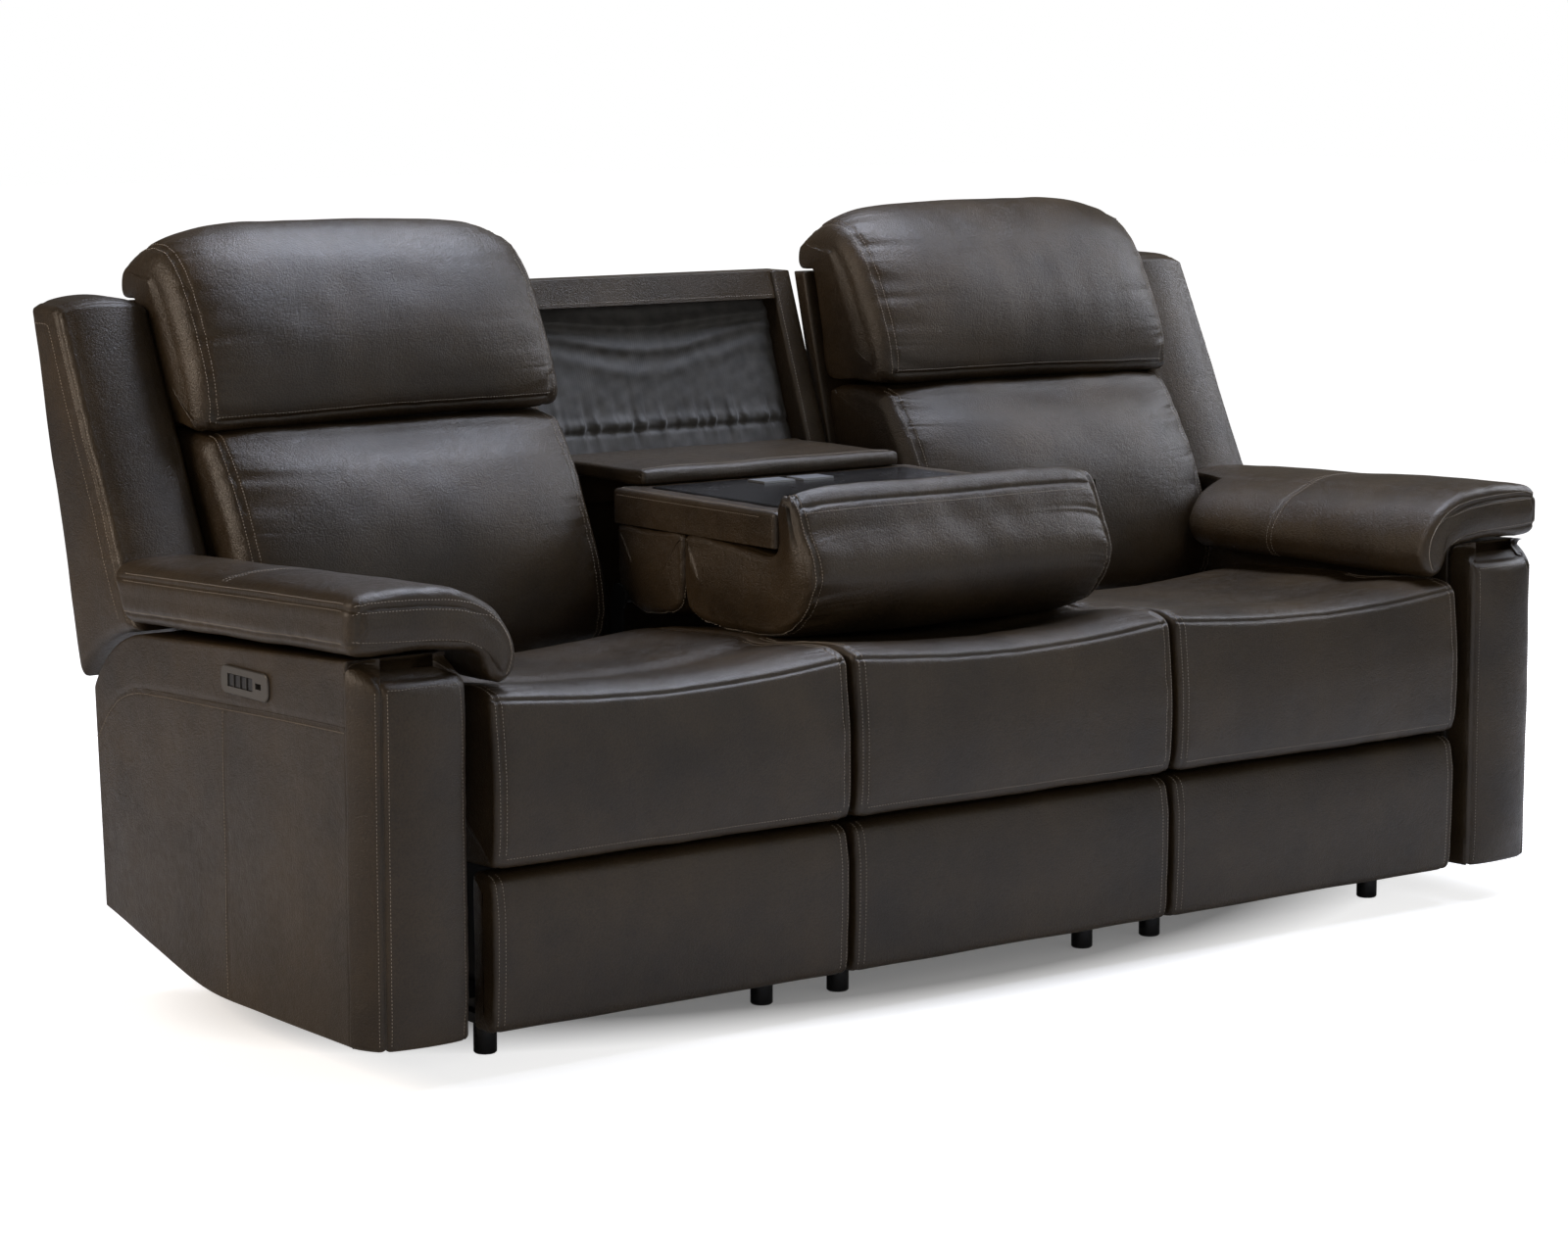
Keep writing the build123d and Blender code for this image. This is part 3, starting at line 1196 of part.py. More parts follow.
with BuildPart() as console_flap:
    # padded board that bridges from the recess to the console's rear end
    flap_low = TRAY_TOP + 1
    extrude(
        side_outline(
            -FLAP_HALF_WIDTH,
            (FLAP_FRONT, flap_low),
            (FLAP_PIVOT[0] + 14, flap_low),
            (FLAP_PIVOT[0] + 14, flap_low + FLAP_THICKNESS),
            (FLAP_FRONT, flap_low + FLAP_THICKNESS),
        ),
        amount=2 * FLAP_HALF_WIDTH,
    )
    fillet(console_flap.edges().filter_by(Axis.X), radius=6)
    for s in (-1, 1):
        bore = pin_outline(s * (FLAP_HALF_WIDTH + 1), FLAP_PIVOT, FLAP_PIN + PIN_CLEARANCE)
        extrude(bore, amount=-s * 11, mode=Mode.SUBTRACT)
save("console_flap", console_flap)
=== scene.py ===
"""Power-reclining leather sofa with a drop-down console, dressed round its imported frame."""
import math

import bmesh
import bpy
import numpy as np
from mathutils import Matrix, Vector
from mathutils.bvhtree import BVHTree


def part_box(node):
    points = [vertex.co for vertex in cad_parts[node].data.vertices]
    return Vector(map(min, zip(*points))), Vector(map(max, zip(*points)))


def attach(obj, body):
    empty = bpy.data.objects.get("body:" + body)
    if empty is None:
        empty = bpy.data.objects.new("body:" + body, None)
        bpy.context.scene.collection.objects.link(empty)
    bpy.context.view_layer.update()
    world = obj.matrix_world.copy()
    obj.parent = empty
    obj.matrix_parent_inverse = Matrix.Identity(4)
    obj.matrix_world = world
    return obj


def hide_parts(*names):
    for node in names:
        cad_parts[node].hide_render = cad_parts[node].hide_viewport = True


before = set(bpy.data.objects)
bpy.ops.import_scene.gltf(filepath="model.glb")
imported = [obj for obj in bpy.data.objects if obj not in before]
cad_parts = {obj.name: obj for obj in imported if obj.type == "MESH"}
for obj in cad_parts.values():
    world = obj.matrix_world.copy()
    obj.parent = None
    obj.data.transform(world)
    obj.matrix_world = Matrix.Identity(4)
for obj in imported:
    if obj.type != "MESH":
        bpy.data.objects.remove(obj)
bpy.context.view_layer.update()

# ---------------------------------------------------------------- seat cushions
# Three foam seats in pebbled cowhide, each sewn from a front panel, a sitting panel and two
# boxed sides. The front edge seam dips in the middle, and a soft crease lies behind the roll.

SEAT_PITCH = 600
SEAT_HALF = 296
SEATS = {"left": -SEAT_PITCH, "center": 0, "right": SEAT_PITCH}
SEAT_UNDER = 283
SEAT_EDGE = 505  # front seam at the seat's sides
SEAT_SAG = 18  # the seam's dip in the middle
SEAT_REAR = 571
SEAT_ROW = 14  # samples between the points of the seat's section
BOX_SEAM = 12  # seam inside the seat's side
FRAME_FRONT = 62  # front of the seat frames behind the seat fronts
BACK_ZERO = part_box("seat_frame_center")[0].y * 1000 - FRAME_FRONT


def metres(points):
    """(x, back, height) in millimetres, back from the seat fronts, to the frame's metres."""
    moved = np.array(points, float)
    moved[..., 1] += BACK_ZERO
    return moved / 1000


def colour(code, alpha=1.0):
    """sRGB hex to linear."""
    parts = [int(code[i : i + 2], 16) / 255 for i in (1, 3, 5)]
    return tuple(c / 12.92 if c < 0.04045 else ((c + 0.055) / 1.055) ** 2.4 for c in parts) + (alpha,)


def node(tree, kind, links=(), stops=(), **settings):
    """Adds a node, sets its settings and the stops of its colour ramp, given as (place, hex), and
    sets its sockets or links them to the sockets given; a node stands for its first output."""
    made = tree.nodes.new("ShaderNode" + kind)
    for key, value in settings.items():
        setattr(made, key, value)
    for k, (place, code) in enumerate(stops):
        made.color_ramp.elements[k].position = place
        made.color_ramp.elements[k].color = colour(code)
    for key, value in dict(links).items():
        if isinstance(value, bpy.types.Node):
            value = value.outputs[0]
        if isinstance(value, bpy.types.NodeSocket):
            tree.links.new(value, made.inputs[key])
        else:
            made.inputs[key].default_value = value
    return made


def new_material(name):
    """Empty material with its node tree and object coordinates."""
    made = bpy.data.materials.new(name)
    made.use_nodes = True
    made.node_tree.nodes.clear()
    return made, made.node_tree, node(made.node_tree, "TexCoord").outputs["Object"]


def pebbled_cowhide(name, dark, light, gloss):
    """Pigmented cowhide, embossed with a pebble grain and glazed: a soft broad shine broken up by
    the grain, with slow changes of tone where the dye took unevenly. Pebbles of 2.6 mm are about
    twice as coarse as the real ones, so that they show."""
    made, tree, where = new_material(name)
    cloud = node(tree, "TexNoise", {"Vector": where, "Scale": 1000 / 160, "Detail": 4.0, "Roughness": 0.6})
    grain = node(tree, "TexVoronoi", {"Vector": where, "Scale": 1000 / 2.6}, feature="SMOOTH_F1")
    pores = node(tree, "TexNoise", {"Vector": where, "Scale": 1000 / 1.1, "Detail": 2.0})
    crinkle = {"Scale": 1000 / 14, "Detail": 3.0, "Distortion": 0.6}
    creases = node(tree, "TexNoise", {"Vector": where, **crinkle})
    tone = node(tree, "ValToRGB", {"Fac": cloud}, [(0.32, dark), (0.68, light)])
    from_pits = {"From Min": 0.1, "From Max": 0.75, "To Min": 1.15, "To Max": 0.72}
    speck = node(tree, "MapRange", {"Value": grain, **from_pits})
    base = node(tree, "VectorMath", {0: tone, 3: speck}, operation="SCALE")
    worn = {"From Min": 0.3, "From Max": 0.7, "To Min": gloss - 0.05, "To Max": gloss + 0.08}
    rough = node(tree, "MapRange", {"Value": creases, **worn})
    fine = node(tree, "Math", {0: grain, 1: -0.8, 2: pores}, operation="MULTIPLY_ADD")
    skin = node(tree, "Bump", {"Height": fine, "Strength": 0.75, "Distance": 0.0007})
    folds = node(tree, "Bump", {"Height": creases, "Strength": 0.35, "Distance": 0.0014, "Normal": skin})
    glaze = {"Roughness": rough, "IOR": 1.5, "Specular IOR Level": 0.42}
    shader = node(tree, "BsdfPrincipled", {"Base Color": base, "Normal": folds, **glaze})
    node(tree, "OutputMaterial", {"Surface": shader})
    return made


hide = pebbled_cowhide("pebbled_cowhide", "#271e13", "#3a2e1e", 0.34)


def spun_thread(name, dark, light):
    """Bonded polyester thread, twisted: pale against the hide, with a slight shine."""
    made, tree, where = new_material(name)
    twist = node(tree, "TexNoise", {"Vector": where, "Scale": 1000 / 0.6, "Detail": 1.0})
    shade = node(tree, "ValToRGB", {"Fac": twist}, [(0.2, dark), (0.8, light)])
    shader = node(tree, "BsdfPrincipled", {"Base Color": shade, "Roughness": 0.55})
    node(tree, "OutputMaterial", {"Surface": shader})
    return made


thread = spun_thread("bonded_thread", "#9c9286", "#b3a99c")


def spline(points, steps, closed=True):
    """Smooth line through points, steps samples between neighbours and closer together near
    each point, so that a seam placed there has fine rows beside it."""
    points = np.array(points, float)
    count = len(points)
    pieces = []
    for i in range(count if closed else count - 1):
        if closed:
            a, b, c, d = (points[(i + k) % count] for k in (-1, 0, 1, 2))
        else:
            b, c = points[i], points[i + 1]
            a = points[i - 1] if i else 2 * b - c
            d = points[i + 2] if i + 2 < count else 2 * c - b
        ab, bc, cd = (max(np.linalg.norm(q - p), 1e-6) ** 0.5 for p, q in ((a, b), (b, c), (c, d)))
        m1 = ((b - a) / ab - (c - a) / (ab + bc) + (c - b) / bc) * bc
        m2 = ((c - b) / bc - (d - b) / (bc + cd) + (d - c) / cd) * bc
        t = (0.5 - 0.5 * np.cos(np.pi * np.arange(steps) / steps))[:, None]
        t = 0.6 * t + 0.4 * (np.arange(steps) / steps)[:, None]
        from_b = (2 * t**3 - 3 * t**2 + 1) * b + (t**3 - 2 * t**2 + t) * m1
        pieces.append(from_b + (-2 * t**3 + 3 * t**2) * c + (t**3 - t**2) * m2)
    if not closed:
        pieces.append(points[-1:])
    return np.concatenate(pieces)


def shrink(loop, amount):
    """Closed 2-D loop moved inwards, by one amount or by one for each point."""
    ahead, behind = np.roll(loop, -1, 0), np.roll(loop, 1, 0)
    run = ahead - behind
    normal = np.stack([run[:, 1], -run[:, 0]], 1)
    normal /= np.linalg.norm(normal, axis=1, keepdims=True) + 1e-9
    area = np.sum(loop[:, 0] * ahead[:, 1] - ahead[:, 0] * loop[:, 1])
    return loop - normal * np.asarray(amount)[..., None] * (1 if area > 0 else -1)


def raised(grid, amount):
    """Grid of points, closed along its first axis, moved outwards along its normals by an amount
    for each point, and inwards where that is negative."""
    along = np.roll(grid, -1, 0) - np.roll(grid, 1, 0)
    normal = np.cross(along, np.gradient(grid, axis=1))
    normal /= np.linalg.norm(normal, axis=2, keepdims=True) + 1e-9
    if np.mean((grid - grid.mean((0, 1))) * normal) < 0:
        normal = -normal
    return grid + normal * amount[..., None]


RIPPLES = 4096  # random heights before they repeat


def ripple(along, size, seed):
    """Smooth random values from 0 to 1 along a line, about one hump per size."""
    values = np.random.default_rng(seed).random(RIPPLES)
    place = np.abs(np.asarray(along, float)) / size + 7
    low = np.floor(place).astype(int)
    share = place - low
    share = share * share * (3 - 2 * share)
    return values[low % RIPPLES] * (1 - share) + values[(low + 1) % RIPPLES] * share


def gathers(along, size, seed):
    """Pinched folds along a seam, 0 to 1: broad ones with sharp small ones between them."""
    broad, fine = ripple(along, size * 2.1, seed), ripple(along, size, seed + 40)
    return 0.55 * broad**1.5 + 0.45 * np.abs(2 * fine - 1)


def unrest(grid, size, seed):
    """Slow unevenness of a stuffed surface, -1 to 1, from crossed waves."""
    random = np.random.default_rng(seed)
    total = np.zeros(grid.shape[:2])
    for _ in range(9):
        direction = random.normal(size=3)
        direction /= np.linalg.norm(direction)
        wave = size * random.uniform(0.7, 1.6)
        total += np.sin(grid @ direction * 2 * np.pi / wave + random.uniform(0, 6.28))
    return total / 4.5


def seated(name, mesh, material, body):
    """Puts a mesh in the scene as a piece that rides a body."""
    made = bpy.data.objects.new(name, mesh)
    bpy.context.scene.collection.objects.link(made)
    made.data.materials.append(material)
    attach(made, body)
    return made


def mesh_of(name, grids, sign=1):
    """One smooth mesh from grids of points in millimetres, each (points, closed); sign -1 mirrors
    it to the other side of the sofa."""
    verts, faces, start = [], [], 0
    for grid, wrap in grids:
        rows, columns = grid.shape[:2]
        index = np.arange(rows * columns).reshape(rows, columns) + start
        if wrap:
            index = np.concatenate([index, index[:1]])
        quads = np.stack([index[:-1, :-1], index[1:, :-1], index[1:, 1:], index[:-1, 1:]], -1)
        verts.append(grid.reshape(-1, 3))
        faces.append(quads.reshape(-1, 4))
        start += rows * columns
    verts, faces = np.concatenate(verts) * (sign, 1, 1), np.concatenate(faces)
    mesh = bpy.data.meshes.new(name)
    mesh.from_pydata(metres(verts).tolist(), [], faces.tolist())
    weld(mesh)
    mesh.polygons.foreach_set("use_smooth", [True] * len(mesh.polygons))
    return mesh


WELD_WITHIN, EDGE_LEAST = 0.00002, 0.00001  # metres


def weld(mesh):
    """Joins points that lie together and turns the faces outwards."""
    work = bmesh.new()
    work.from_mesh(mesh)
    bmesh.ops.remove_doubles(work, verts=work.verts, dist=WELD_WITHIN)
    bmesh.ops.dissolve_degenerate(work, edges=work.edges, dist=EDGE_LEAST)
    bmesh.ops.recalc_face_normals(work, faces=work.faces)
    work.to_mesh(mesh)
    work.free()


def groove(distance, depth, width):
    """Sewn valley: how far the surface sinks at a distance from the seam."""
    return -depth * np.exp(-((distance / width) ** 2))


def arc_length(grid, axis):
    """Distance along an axis of the grid from its first row."""
    steps = np.linalg.norm(np.diff(grid, axis=axis), axis=2)
    zero = np.zeros_like(np.take(steps, [0], axis=axis))
    return np.cumsum(np.concatenate([zero, steps], axis=axis), axis=axis)


def sleeve(section, low, high, radius, count=44, free=None):
    """Cover lofted from low to high across the sofa. section(t) gives the closed loop at t from
    -1 to 1, and the ends round off over radius, fully only on the rows between the two of free."""
    middle, half = (low + high) / 2, (high - low) / 2
    turn = np.linspace(0, np.pi / 2, 9)[1:]
    inner = half - radius
    flat = np.sin(np.linspace(-np.pi / 2, np.pi / 2, count)) * 0.35 + np.linspace(-1, 1, count) * 0.65
    flat *= inner
    ends = inner + radius * np.sin(turn)
    places = np.concatenate([-ends[::-1], flat, ends])
    rounded = radius * (1 - np.cos(turn))
    drawn = np.concatenate([rounded[::-1], np.zeros(count), rounded])
    weight = np.ones(len(section(0)))
    if free:
        weight[:] = 0.15
        weight[free[0] : free[1]] = 1
        weight = np.mean([np.roll(weight, k) for k in range(-12, 13)], axis=0)
    loops = [shrink(section(x / half), weight * d) for x, d in zip(places, drawn)]
    grid = np.empty((len(loops[0]), len(places), 3))
    for j, (loop, x) in enumerate(zip(loops, places)):
        grid[:, j, 0] = middle + x
        grid[:, j, 1:] = loop
    return grid


def end_cap(ring, spine, swell, rows=11):
    """Side panel that closes a sleeve: from its ring of points to a spine drawn in (back, height),
    swelling outwards by swell."""
    share = np.linspace(0, 1, rows) ** 1.15
    grid = np.empty((len(ring), rows, 3))
    grid[:, :, 1:] = drawn_in(ring[:, 1:], spine, share)
    grid[:, :, 0] = ring[:, None, 0] + swell * np.sin(share * np.pi / 2)[None]
    return grid


def drawn_in(ring, spine, share):
    """Rows of a flat end panel, drawn in evenly from its ring to the nearest part of its spine."""
    fine = resample(spine, np.linspace(0, 1, 160))
    near = np.linalg.norm(ring[:, None] - fine[None], axis=2).argmin(1) / 159
    reach = len(ring) // 14
    eased = np.mean([np.roll(near, k) for k in range(-reach, reach + 1)], axis=0)
    target = resample(spine, eased)
    rows = ring[:, None] * (1 - share)[None, :, None] + target[:, None] * share[None, :, None]
    for _ in range(60):
        around = (np.roll(rows, 1, 0) + np.roll(rows, -1, 0))[:, 1:-1]
        rows[:, 1:-1] = (around + rows[:, :-2] + rows[:, 2:]) / 4
    return rows


def resample(path, places):
    """Points of a path at shares of its length."""
    path = np.array(path, float)
    length = np.concatenate([[0], np.cumsum(np.linalg.norm(np.diff(path, axis=0), axis=1))])
    stations = np.array(places) * length[-1]
    return np.stack([np.interp(stations, length, column) for column in path.T], 1)


def closed(grid, spine, swell):
    """A sleeve with its two side panels."""
    left, right = end_cap(grid[:, 0], spine, -swell), end_cap(grid[:, -1], spine, swell)
    return [(grid, True), (left, True), (right, True)]


def dress(name, grids, body, nodes=(), lines=(), sign=1, hems=()):
    """Leather piece that rides a body and stands for its CAD nodes, with rows of stitches along
    lines and lapped seams along hems."""
    made = seated(name, mesh_of(name, grids, sign), hide, body)
    if nodes:
        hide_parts(*nodes)
    lines = [np.array(line, float) * (sign, 1, 1) for line in lines]
    hems = [np.array(hem, float) * (sign, 1, 1) for hem in hems]
    if hems:
        lap(f"{name}_laps", made, hems, body)
    if lines:
        sew(f"{name}_stitching", made, lines, body)
    return made


LAP_WIDTH = 9.0
LAP_THICK = 0.55  # hide skived down at the fold
LAP_STEP = 0.006  # metres between cross-sections


def lap(name, piece, hems, body):
    """Lapped seams: where one panel's folded edge lies over the next, a narrow raised strip that
    slopes off on one side and breaks sharply on the other, above or to the left of the path."""
    tree = BVHTree.FromObject(piece, bpy.context.evaluated_depsgraph_get())
    verts, faces = [], []
    profile = ((-0.2, -0.5), (0.0, LAP_THICK), (1.2, LAP_THICK), (LAP_WIDTH, -0.2), (LAP_WIDTH / 2, -0.6))
    for hem in hems:
        path = metres(hem)
        steps = np.linalg.norm(np.diff(path, axis=0), axis=1)
        length = np.concatenate([[0], np.cumsum(steps)])
        stations = np.linspace(0, length[-1], max(int(length[-1] / LAP_STEP), 2))
        points = np.stack([np.interp(stations, length, column) for column in path.T], 1)
        runs = np.gradient(points, axis=0)
        first = len(verts)
        for point, run in zip(points, runs):
            spot, normal, _, _ = tree.find_nearest(Vector(point))
            across = normal.cross(Vector(run)).normalized()
            for offset, height in profile:
                there, up, _, _ = tree.find_nearest(spot + across * (offset / 1000))
                verts.append(there + up * (height / 1000))
        k = len(profile)
        for i in range(len(points) - 1):
            a = first + i * k
            faces += [(a + j, a + (j + 1) % k, a + k + (j + 1) % k, a + k + j) for j in range(k)]
        faces += [tuple(range(first + k - 1, first - 1, -1)), tuple(range(len(verts) - k, len(verts)))]
    mesh = bpy.data.meshes.new(name)
    mesh.from_pydata([tuple(v) for v in verts], [], faces)
    seated(name, mesh, hide, body)


STITCH = 0.0036  # length of one stitch, in metres
STITCH_PITCH = 0.005
THREAD_HALF = 0.00055  # half the thread's width
THREAD_LIFT = 0.00025  # height of its sides over the hide
THREAD_CROWN = 0.0009
THREAD_SUNK = 0.0006


def sew(name, piece, lines, body):
    """Rows of thread on a piece: each line is a path in millimetres, laid on the nearest surface,
    and each stitch a diamond of thread that dips into the hide at its ends."""
    tree = BVHTree.FromObject(piece, bpy.context.evaluated_depsgraph_get())
    verts, faces = [], []
    for line in lines:
        path = metres(np.array(line, float))
        steps = np.linalg.norm(np.diff(path, axis=0), axis=1)
        length = np.concatenate([[0], np.cumsum(steps)])
        for s in np.arange(STITCH_PITCH / 2, length[-1], STITCH_PITCH):
            ends = (s - STITCH / 2, s + STITCH / 2)
            here, ahead = (Vector([np.interp(e, length, column) for column in path.T]) for e in ends)
            spot, normal, _, _ = tree.find_nearest((here + ahead) / 2)
            if spot is None:
                continue
            run = ahead - here
            run -= normal * run.dot(normal)
            if run.length < 1e-6:
                continue
            run.normalize()
            side = normal.cross(run)
            base = len(verts)
            up = normal * THREAD_LIFT
            verts += [
                spot - run * STITCH / 2,
                spot + side * THREAD_HALF + up,
                spot + run * STITCH / 2,
                spot - side * THREAD_HALF + up,
                spot + normal * THREAD_CROWN,
                spot - normal * THREAD_SUNK,
            ]
            for a, b in ((0, 1), (1, 2), (2, 3), (3, 0)):
                faces += [(base + a, base + b, base + 4), (base + b, base + a, base + 5)]
    mesh = bpy.data.meshes.new(name)
    mesh.from_pydata([tuple(v) for v in verts], [], faces)
    seated(name, mesh, thread, body)


def seat_section(t):
    """Seat cushion in side view at t across its width: front, sewn edge, roll, crease, top, rear."""
    dip = 1 - t * t
    edge = SEAT_EDGE - SEAT_SAG * dip
    crease = 165 + 55 * t * t
    return spline(
        [
            (26, SEAT_UNDER - 6), (8, SEAT_UNDER - 3), (0, SEAT_UNDER + 14), (-4 - 3 * dip, 385),
            (2, 465), (10, edge), (40, edge + 12), (95, edge + 12), (crease, edge - 1),
            (crease + 45, edge + 3), (380, edge - 3 - 5 * dip), (500, edge - 14),
            (SEAT_REAR - 16, edge - 34), (SEAT_REAR, edge - 75), (SEAT_REAR, 330),
            (SEAT_REAR - 4, SEAT_UNDER + 8), (SEAT_REAR - 20, SEAT_UNDER),
        ],
        SEAT_ROW,
    )


EDGE_ROW = 5 * SEAT_ROW  # the front seam's row in the section


def seat_cover(centre, seed):
    """Whole seat cover, its seams sunk and its borders puckered."""
    grid = sleeve(seat_section, centre - SEAT_HALF, centre + SEAT_HALF, 14, 84)
    across, _, height = grid.transpose(2, 0, 1)
    along = arc_length(grid, 0)
    from_edge = np.abs(along - along[EDGE_ROW : EDGE_ROW + 1])
    from_middle = np.abs(across - centre)
    from_side = SEAT_HALF - BOX_SEAM - from_middle
    sink = groove(from_edge, 3.2, 3.5) * (from_middle < SEAT_HALF - 6)
    sink += groove(from_side, 2.2, 3.0)
    reach = 9 + 34 * ripple(along, 33, seed + 9)
    pucker = gathers(along, 10, seed) * np.exp(-np.clip(from_side, 0, None) / reach) * (from_side > -2)
    sink += -3.8 * pucker * (height > SEAT_UNDER + 30)
    sink += -1.3 * gathers(across + 2000, 14, seed + 1) * np.exp(-from_edge / 13)
    sink += 1.2 * unrest(grid, 190, seed + 2) + 0.35 * unrest(grid, 55, seed + 3)
    sink[:, :2] = sink[:, -2:] = -0.5
    return closed(raised(grid, sink), [(120, 395), (460, 385)], 3)


def front_path(section, x, t, low, high):
    """Points of a section at x between a lowest height and a furthest distance back, in front."""
    loop = section(t)
    loop = loop[: int(loop[:, 1].argmax()) + 30]
    keep = loop[(loop[:, 1] > low) & (loop[:, 0] < high)]
    return np.column_stack([np.full(len(keep), x), keep])


for name, centre in SEATS.items():
    lines = []
    for s in (-1, 1):
        for away in (BOX_SEAM - 5, BOX_SEAM + 5):
            t = s * (SEAT_HALF - away) / SEAT_HALF
            lines.append(front_path(seat_section, centre + t * SEAT_HALF, t, SEAT_UNDER + 12, 330))
    across = np.linspace(centre - SEAT_HALF + 18, centre + SEAT_HALF - 18, 60)
    lines.append([(x, 3, SEAT_UNDER + 9) for x in across])
    body = "base" if name == "center" else f"seat_{name}"
    dress(f"seat_cover_{name}", seat_cover(centre, 11), body, [f"seat_cushion_{name}"], lines)

# ---------------------------------------------------------------- footrest and front panels
# Three padded boards under the seats with a soft rolled top edge. The outer two are the
# footrests and carry steel tabs for their links behind; the middle one is fixed.

PANEL_LOW = 56
PANEL_HIGH = 268
PANEL_BACK = {"left": 58, "center": 61, "right": 58}


def panel_section_of(rear):
    """Section of a front panel whose board ends at a distance back."""

    def section(t):
        return spline(
            [
                (20, PANEL_LOW), (9, PANEL_LOW + 7), (5, PANEL_LOW + 30),
                (2 - 2 * (1 - t * t), 165), (4, 235), (11, 260), (24, PANEL_HIGH),
                (rear - 3, PANEL_HIGH), (rear, PANEL_HIGH - 4), (rear, 160),
                (rear, PANEL_LOW + 4), (rear - 3, PANEL_LOW),
            ],
            8,
        )

    return section


def panel_cover(centre, rear, seed):
    """Front panel's cover: drawn in along its side seams, faintly uneven over the foam."""
    section = panel_section_of(rear)
    grid = sleeve(section, centre - SEAT_HALF, centre + SEAT_HALF, 10, 46)
    across, back, _ = grid.transpose(2, 0, 1)
    from_side = SEAT_HALF - BOX_SEAM - np.abs(across - centre)
    pucker = ripple(arc_length(grid, 0), 15, seed) * np.exp(-np.clip(from_side, 0, None) / 14)
    sink = groove(from_side, 2.4, 3.0) - 1.3 * pucker + 0.7 * unrest(grid, 170, seed + 1)
    spine = [(rear / 2, PANEL_LOW + 25), (rear / 2, PANEL_HIGH - 25)]
    return closed(raised(grid, sink * (back < rear - 12)), spine, 2)


for name, centre in SEATS.items():
    body = "base" if name == "center" else f"footrest_{name}"
    cad = "center_front_panel" if name == "center" else f"footrest_panel_{name}"
    section = panel_section_of(PANEL_BACK[name])
    lines = []
    for s in (-1, 1):
        for away in (BOX_SEAM - 5, BOX_SEAM + 5):
            x = centre + s * (SEAT_HALF - away)
            lines.append(front_path(section, x, s, PANEL_LOW + 10, 30))
    dress(f"panel_cover_{name}", panel_cover(centre, PANEL_BACK[name], 31), body, [cad], lines)

# ---------------------------------------------------------------- steel of the moving panels
# Strip-steel tabs behind each footrest panel with the pins its links hang on.


def arc_points(centre, radius, start, end, count):
    """Points of an arc between two angles in degrees."""
    angles = np.radians(np.linspace(start, end, count))
    return [(centre[0] + radius * math.cos(a), centre[1] + radius * math.sin(a)) for a in angles]


def dark_steel(name):
    """Rolled steel with a thin black oxide: mostly matt, with faint mill streaks about 17 mm long
    and 1.7 mm wide."""
    made, tree, where = new_material(name)
    streak = node(tree, "Mapping", {"Vector": where, "Scale": (60, 600, 60)})
    mill = node(tree, "TexNoise", {"Vector": streak, "Scale": 1.0, "Detail": 4.0})
    tone = node(tree, "ValToRGB", {"Fac": mill}, [(0.3, "#1d1e20"), (0.75, "#2b2c2e")])
    rough = node(tree, "MapRange", {"Value": mill, "To Min": 0.38, "To Max": 0.56})
    shader = node(tree, "BsdfPrincipled", {"Base Color": tone, "Roughness": rough, "Metallic": 0.6})
    node(tree, "OutputMaterial", {"Surface": shader})
    return made


black_steel = dark_steel("black_oxide_steel")


def bevelled(name, outline, near, far, material, body, sign=1, edge=1.0):
    """Flat plate cut to an outline in side view, its edges broken."""
    work = bmesh.new()
    low, high = (
        [work.verts.new(metres((x, d, z)) * (sign, 1, 1)) for d, z in outline] for x in (near, far)
    )
    work.faces.new(low)
    work.faces.new(high)
    for i in range(len(low)):
        k = (i + 1) % len(low)
        work.faces.new((low[i], low[k], high[k], high[i]))
    bmesh.ops.recalc_face_normals(work, faces=work.faces)
    broken = {"offset": edge / 1000, "segments": 2, "affect": "EDGES", "clamp_overlap": True}
    bmesh.ops.bevel(work, geom=work.edges, **broken)
    mesh = bpy.data.meshes.new(name)
    work.to_mesh(mesh)
    work.free()
    seated(name, mesh, material, body)


LINK_LAYER = 219  # from the seat's middle
LINK_THICK = 4
CRANK, CRANK_TURN = 165, math.radians(84)
STAY, STAY_TURN = 180, math.radians(80)
CRANK_PIN = (120, 230)
KNEE_PIN = (CRANK_PIN[0] - CRANK * math.cos(CRANK_TURN), CRANK_PIN[1] - CRANK * math.sin(CRANK_TURN))
PANEL_PIN = (KNEE_PIN[0] - STAY * math.cos(STAY_TURN), KNEE_PIN[1] + STAY * math.sin(STAY_TURN))
TAB_HALF, TAB_ROOT = 9, 52
PIN_RADIUS, PIN_LONG = 4, 6

for name in ("left", "right"):
    for k, s in enumerate((-1, 1)):
        layer = SEATS[name] + s * LINK_LAYER
        near, far = sorted((layer, layer + s * LINK_THICK))
        tab = arc_points(PANEL_PIN, TAB_HALF, -90, 90, 14)
        tab += [(TAB_ROOT, PANEL_PIN[1] + TAB_HALF), (TAB_ROOT, PANEL_PIN[1] - TAB_HALF)]
        bevelled(f"footrest_tab_{name}_{k + 1}", tab, near, far, black_steel, f"footrest_{name}", 1, 0.5)
        near, far = sorted((layer - s * PIN_LONG, layer))
        pin = arc_points(PANEL_PIN, PIN_RADIUS, 0, 342, 20)
        bevelled(f"footrest_pin_{name}_{k + 1}", pin, near, far, black_steel, f"footrest_{name}", 1, 0.3)

# ---------------------------------------------------------------- outer backs
# Each outer back: a boarded shell, a lower cushion that leans with it and a headrest that nods
# on a rod. Both cushions have a puckered seam round their boxed sides.

